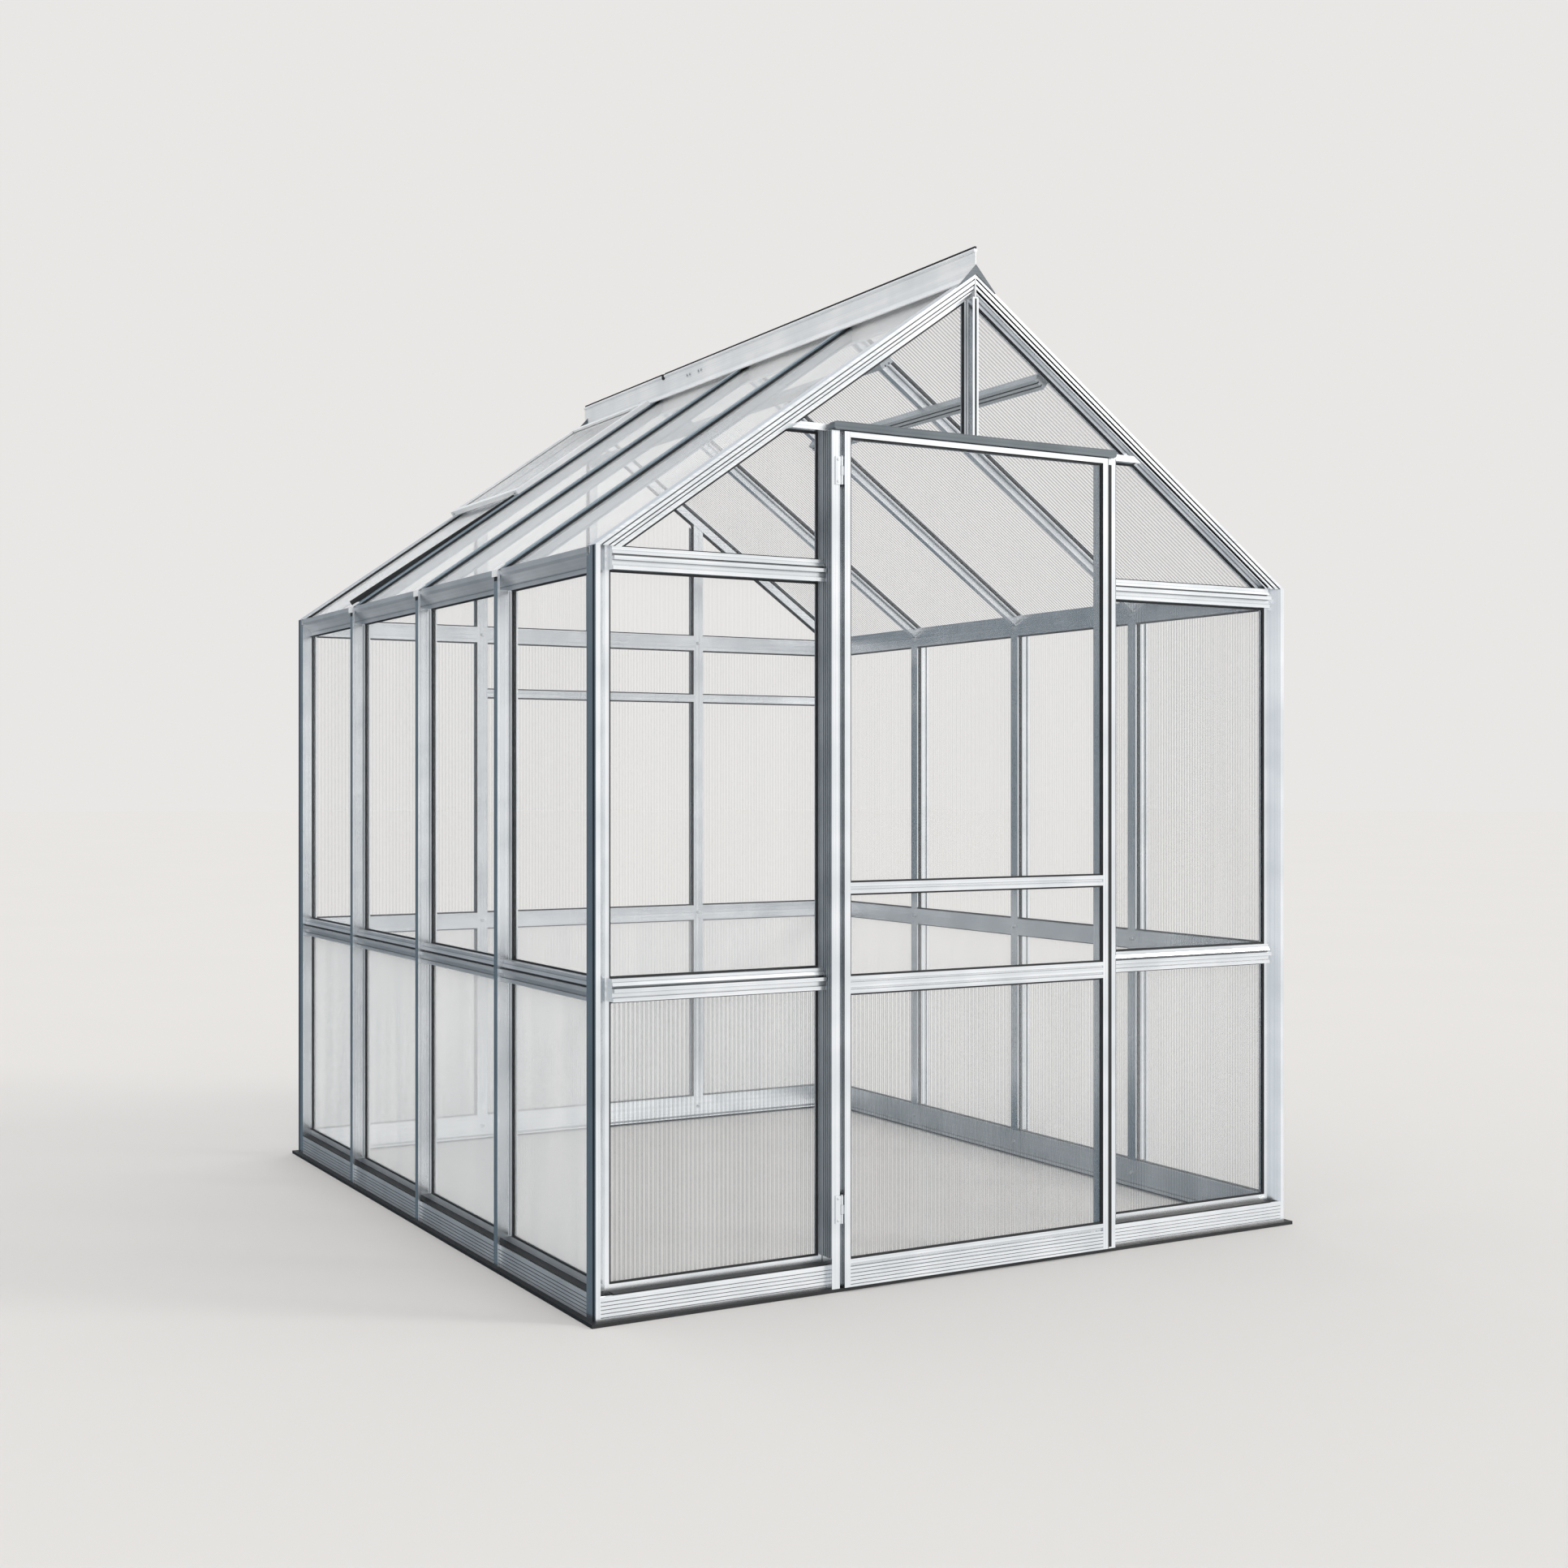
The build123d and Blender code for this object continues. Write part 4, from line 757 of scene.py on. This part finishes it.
@dataclass
class Glazing:
    """Twin-wall sheets of the walls, the gables, the roof and the door."""

    plain: PolycarbonateSheet = PolycarbonateSheet(
        "plain_polycarbonate", 0.015, 0.04, web_light="#A9B0B5", web_shade="#8E969C",
    )
    clear: PolycarbonateSheet = PolycarbonateSheet(
        "clear_polycarbonate", 0.02, 0.15, web_light="#8E969C", web_shade="#747C82",
    )
    ribbed: PolycarbonateSheet = PolycarbonateSheet(
        "ribbed_polycarbonate", 0.02, 0.46, web_light="#7E868C", web_shade="#5E666C",
    )
    frosted: PolycarbonateSheet = PolycarbonateSheet(
        "frosted_polycarbonate", 0.17, 0.16, skin_light="#FBFCFC", skin_shade="#F0F3F5",
        web_light="#B9BFC4", web_shade="#A2A9AE",
    )
    misty: PolycarbonateSheet = PolycarbonateSheet(
        "misty_polycarbonate", 0.07, 0.15, skin_light="#FBFCFC", skin_shade="#F0F3F5",
        web_light="#B9BFC4", web_shade="#A2A9AE",
    )
    # white skins for the left roof slope and the vent pane: partly the sheet's real haze, partly painted
    # light that stands in for the sky's reflection on that slope
    haze_and_sheen: PolycarbonateSheet = PolycarbonateSheet(
        "hazy_roof_polycarbonate", 0.10, 0.08, skin_light="#FFFFFF", skin_shade="#F6F8FA",
        web_light="#E3E8EC", web_shade="#CBD2D8", specular=0.15,
    )
    lined: PolycarbonateSheet = PolycarbonateSheet(
        "lined_roof_polycarbonate", 0.02, 0.42, web_light="#666879", web_shade="#4E5060",
    )
    # the front panes right of this line are ribbed over their whole height
    front_right_line: float = 0.5
    # the roof's webs are drawn further apart and wider than real, so that they show
    roof_pitch: float = 12.5 * MM
    roof_web: float = 2.6 * MM

    def plan(self) -> tuple[TwinWallPanes, ...]:
        """Lists the sheets of every CAD node that holds panes."""
        slopes = {}
        for name, hand in (("left", -1), ("right", 1)):
            out = Vector((hand * math.sin(PITCH), 0, math.cos(PITCH)))
            climb = Vector((-hand * math.cos(PITCH), 0, math.sin(PITCH)))
            slopes[name] = (out, climb)
        roof = {"pitch": self.roof_pitch, "web": self.roof_web}
        return (
            TwinWallPanes("upper_panes_left", "frame", LEFT, UP, self.clear),
            TwinWallPanes("upper_panes_right", "frame", RIGHT, UP, self.clear),
            TwinWallPanes("lower_panes_left", "frame", LEFT, UP, self.frosted),
            TwinWallPanes("lower_panes_right", "frame", RIGHT, UP, self.misty),
            TwinWallPanes(
                "panes_front", "frame", FRONT, UP, self.plain, self.ribbed, right_line=self.front_right_line,
            ),
            TwinWallPanes("panes_back", "frame", BACK, UP, self.clear, self.frosted),
            TwinWallPanes("gable_panes", "frame", FRONT, UP, self.plain),
            TwinWallPanes("roof_panes_left", "frame", *slopes["left"], self.haze_and_sheen, **roof),
            TwinWallPanes("roof_panes_right", "frame", *slopes["right"], self.lined, **roof),
            TwinWallPanes("door_panes", "door", FRONT, UP, self.plain, self.ribbed),
            TwinWallPanes("vent_pane", "vent_sash", *slopes["left"], self.haze_and_sheen, **roof),
        )

    def build(self) -> None:
        """Builds every sheet and reports it."""
        for panes in self.plan():
            piece = panes.build()
            log.info("built %s with %d faces", piece.name, len(piece.data.polygons))


# --------------------------------------------------------------------- studio
@dataclass
class Studio:
    """Paper floor, even room light, one soft lamp low on the right, and the camera."""

    paper: StudioPaint = field(default_factory=StudioPaint)
    backdrop: str = "#E9E7E5"
    floor_radius: float = 80.0
    sun_strength: float = 1.0
    room_strength: float = 1.08
    sun_angle: float = math.radians(13.0)
    sun_way: tuple[float, float, float] = (-0.72, 0.58, -0.38)
    # way to the brightest part of the drapes, and their tones from the far side to the near one
    bright_way: tuple[float, float, float] = (0.55, -0.75, 0.60)
    drape_tones: tuple[tuple[float, tuple], ...] = (
        (0.06, (0.10, 0.135, 0.165, 1)), (0.30, (0.56, 0.61, 0.66, 1)), (0.50, (0.84, 0.86, 0.88, 1)),
        (0.80, (0.98, 0.98, 0.98, 1)),
    )
    eye: Vector = field(default_factory=lambda: Vector((-2.6099, -4.7752, 1.1122)))
    heading: float = math.radians(-29.695)
    lens: float = 45.10

    def floor(self) -> None:
        """Lays the round paper floor."""
        build = bmesh.new()
        bmesh.ops.create_circle(build, cap_ends=True, segments=96, radius=self.floor_radius)
        mesh = bpy.data.meshes.new("paper_floor")
        build.to_mesh(mesh)
        build.free()
        mesh.materials.append(self.paper.material())
        floor = bpy.data.objects.new("paper_floor", mesh)
        floor.visible_glossy = False
        bpy.context.scene.collection.objects.link(floor)

    def room(self) -> None:
        """Sets the room: even light, a plain backdrop, and dark drapes that only the reflections show."""
        world = bpy.data.worlds.new("soft_room")
        world.use_nodes = True
        tree = world.node_tree
        tree.nodes.clear()
        look = add_node(tree, "ShaderNodeTexCoord").outputs["Generated"]
        toward = add_node(
            tree, "ShaderNodeVectorMath", {0: look, 1: self.bright_way}, operation="DOT_PRODUCT",
        ).outputs["Value"]
        place = add_node(
            tree, "ShaderNodeMapRange", {"Value": toward, "From Min": -1.0, "From Max": 1.0},
        ).outputs["Result"]
        drapes = ramp(tree, place, self.drape_tones)
        path = add_node(tree, "ShaderNodeLightPath")
        even = linear("#FFFFFF")
        tones = {"Factor": path.outputs["Is Glossy Ray"], 6: even, 7: drapes}
        lit = add_node(tree, "ShaderNodeMix", tones, data_type="RGBA").outputs[2]
        backdrop = {"Color": linear(self.backdrop), "Strength": 1.0}
        plain = add_node(tree, "ShaderNodeBackground", backdrop).outputs[0]
        light = {"Color": lit, "Strength": self.room_strength}
        glow = add_node(tree, "ShaderNodeBackground", light).outputs[0]
        seen = {0: path.outputs["Is Camera Ray"], 1: glow, 2: plain}
        shown = add_node(tree, "ShaderNodeMixShader", seen).outputs[0]
        add_node(tree, "ShaderNodeOutputWorld", {"Surface": shown})
        world.cycles.sampling_method = "NONE"
        bpy.context.scene.world = world

    def lamp(self) -> None:
        """Adds the soft lamp whose long pale shadows fall to the left."""
        data = bpy.data.lights.new("low_lamp", "SUN")
        data.energy = self.sun_strength
        data.angle = self.sun_angle
        data.color = linear("#FFFBF6")[:3]
        lamp = bpy.data.objects.new("low_lamp", data)
        lamp.rotation_euler = Vector(self.sun_way).to_track_quat("-Z", "Y").to_euler()
        bpy.context.scene.collection.objects.link(lamp)

    def camera(self) -> None:
        """Adds the camera, level and square on."""
        data = bpy.data.cameras.new("camera")
        data.sensor_width = 36.0
        data.lens = self.lens
        data.clip_end = 200.0
        data.dof.use_dof = False
        camera = bpy.data.objects.new("camera", data)
        camera.location = self.eye
        camera.rotation_euler = (math.pi / 2, 0.0, self.heading)
        bpy.context.scene.collection.objects.link(camera)
        bpy.context.scene.camera = camera

    def build(self) -> None:
        """Builds the whole studio."""
        self.floor()
        self.room()
        self.lamp()
        self.camera()
        scene = bpy.context.scene
        scene.view_settings.view_transform = "Standard"
        scene.cycles.transparent_max_bounces = 96
        scene.cycles.max_bounces = 6
        scene.cycles.diffuse_bounces = 2
        scene.cycles.glossy_bounces = 3
        log.info("built the studio")


def main() -> None:
    """Builds the looks in order: sections, trims, glazing, fixings, rubber pieces and studio."""
    logging.basicConfig(level=logging.INFO, format="%(message)s")
    Sections().dress()
    Trims().dress()
    Glazing().build()
    Fixings().build()
    RubberPieces().build()
    Studio().build()


if __name__ == "__main__":
    main()
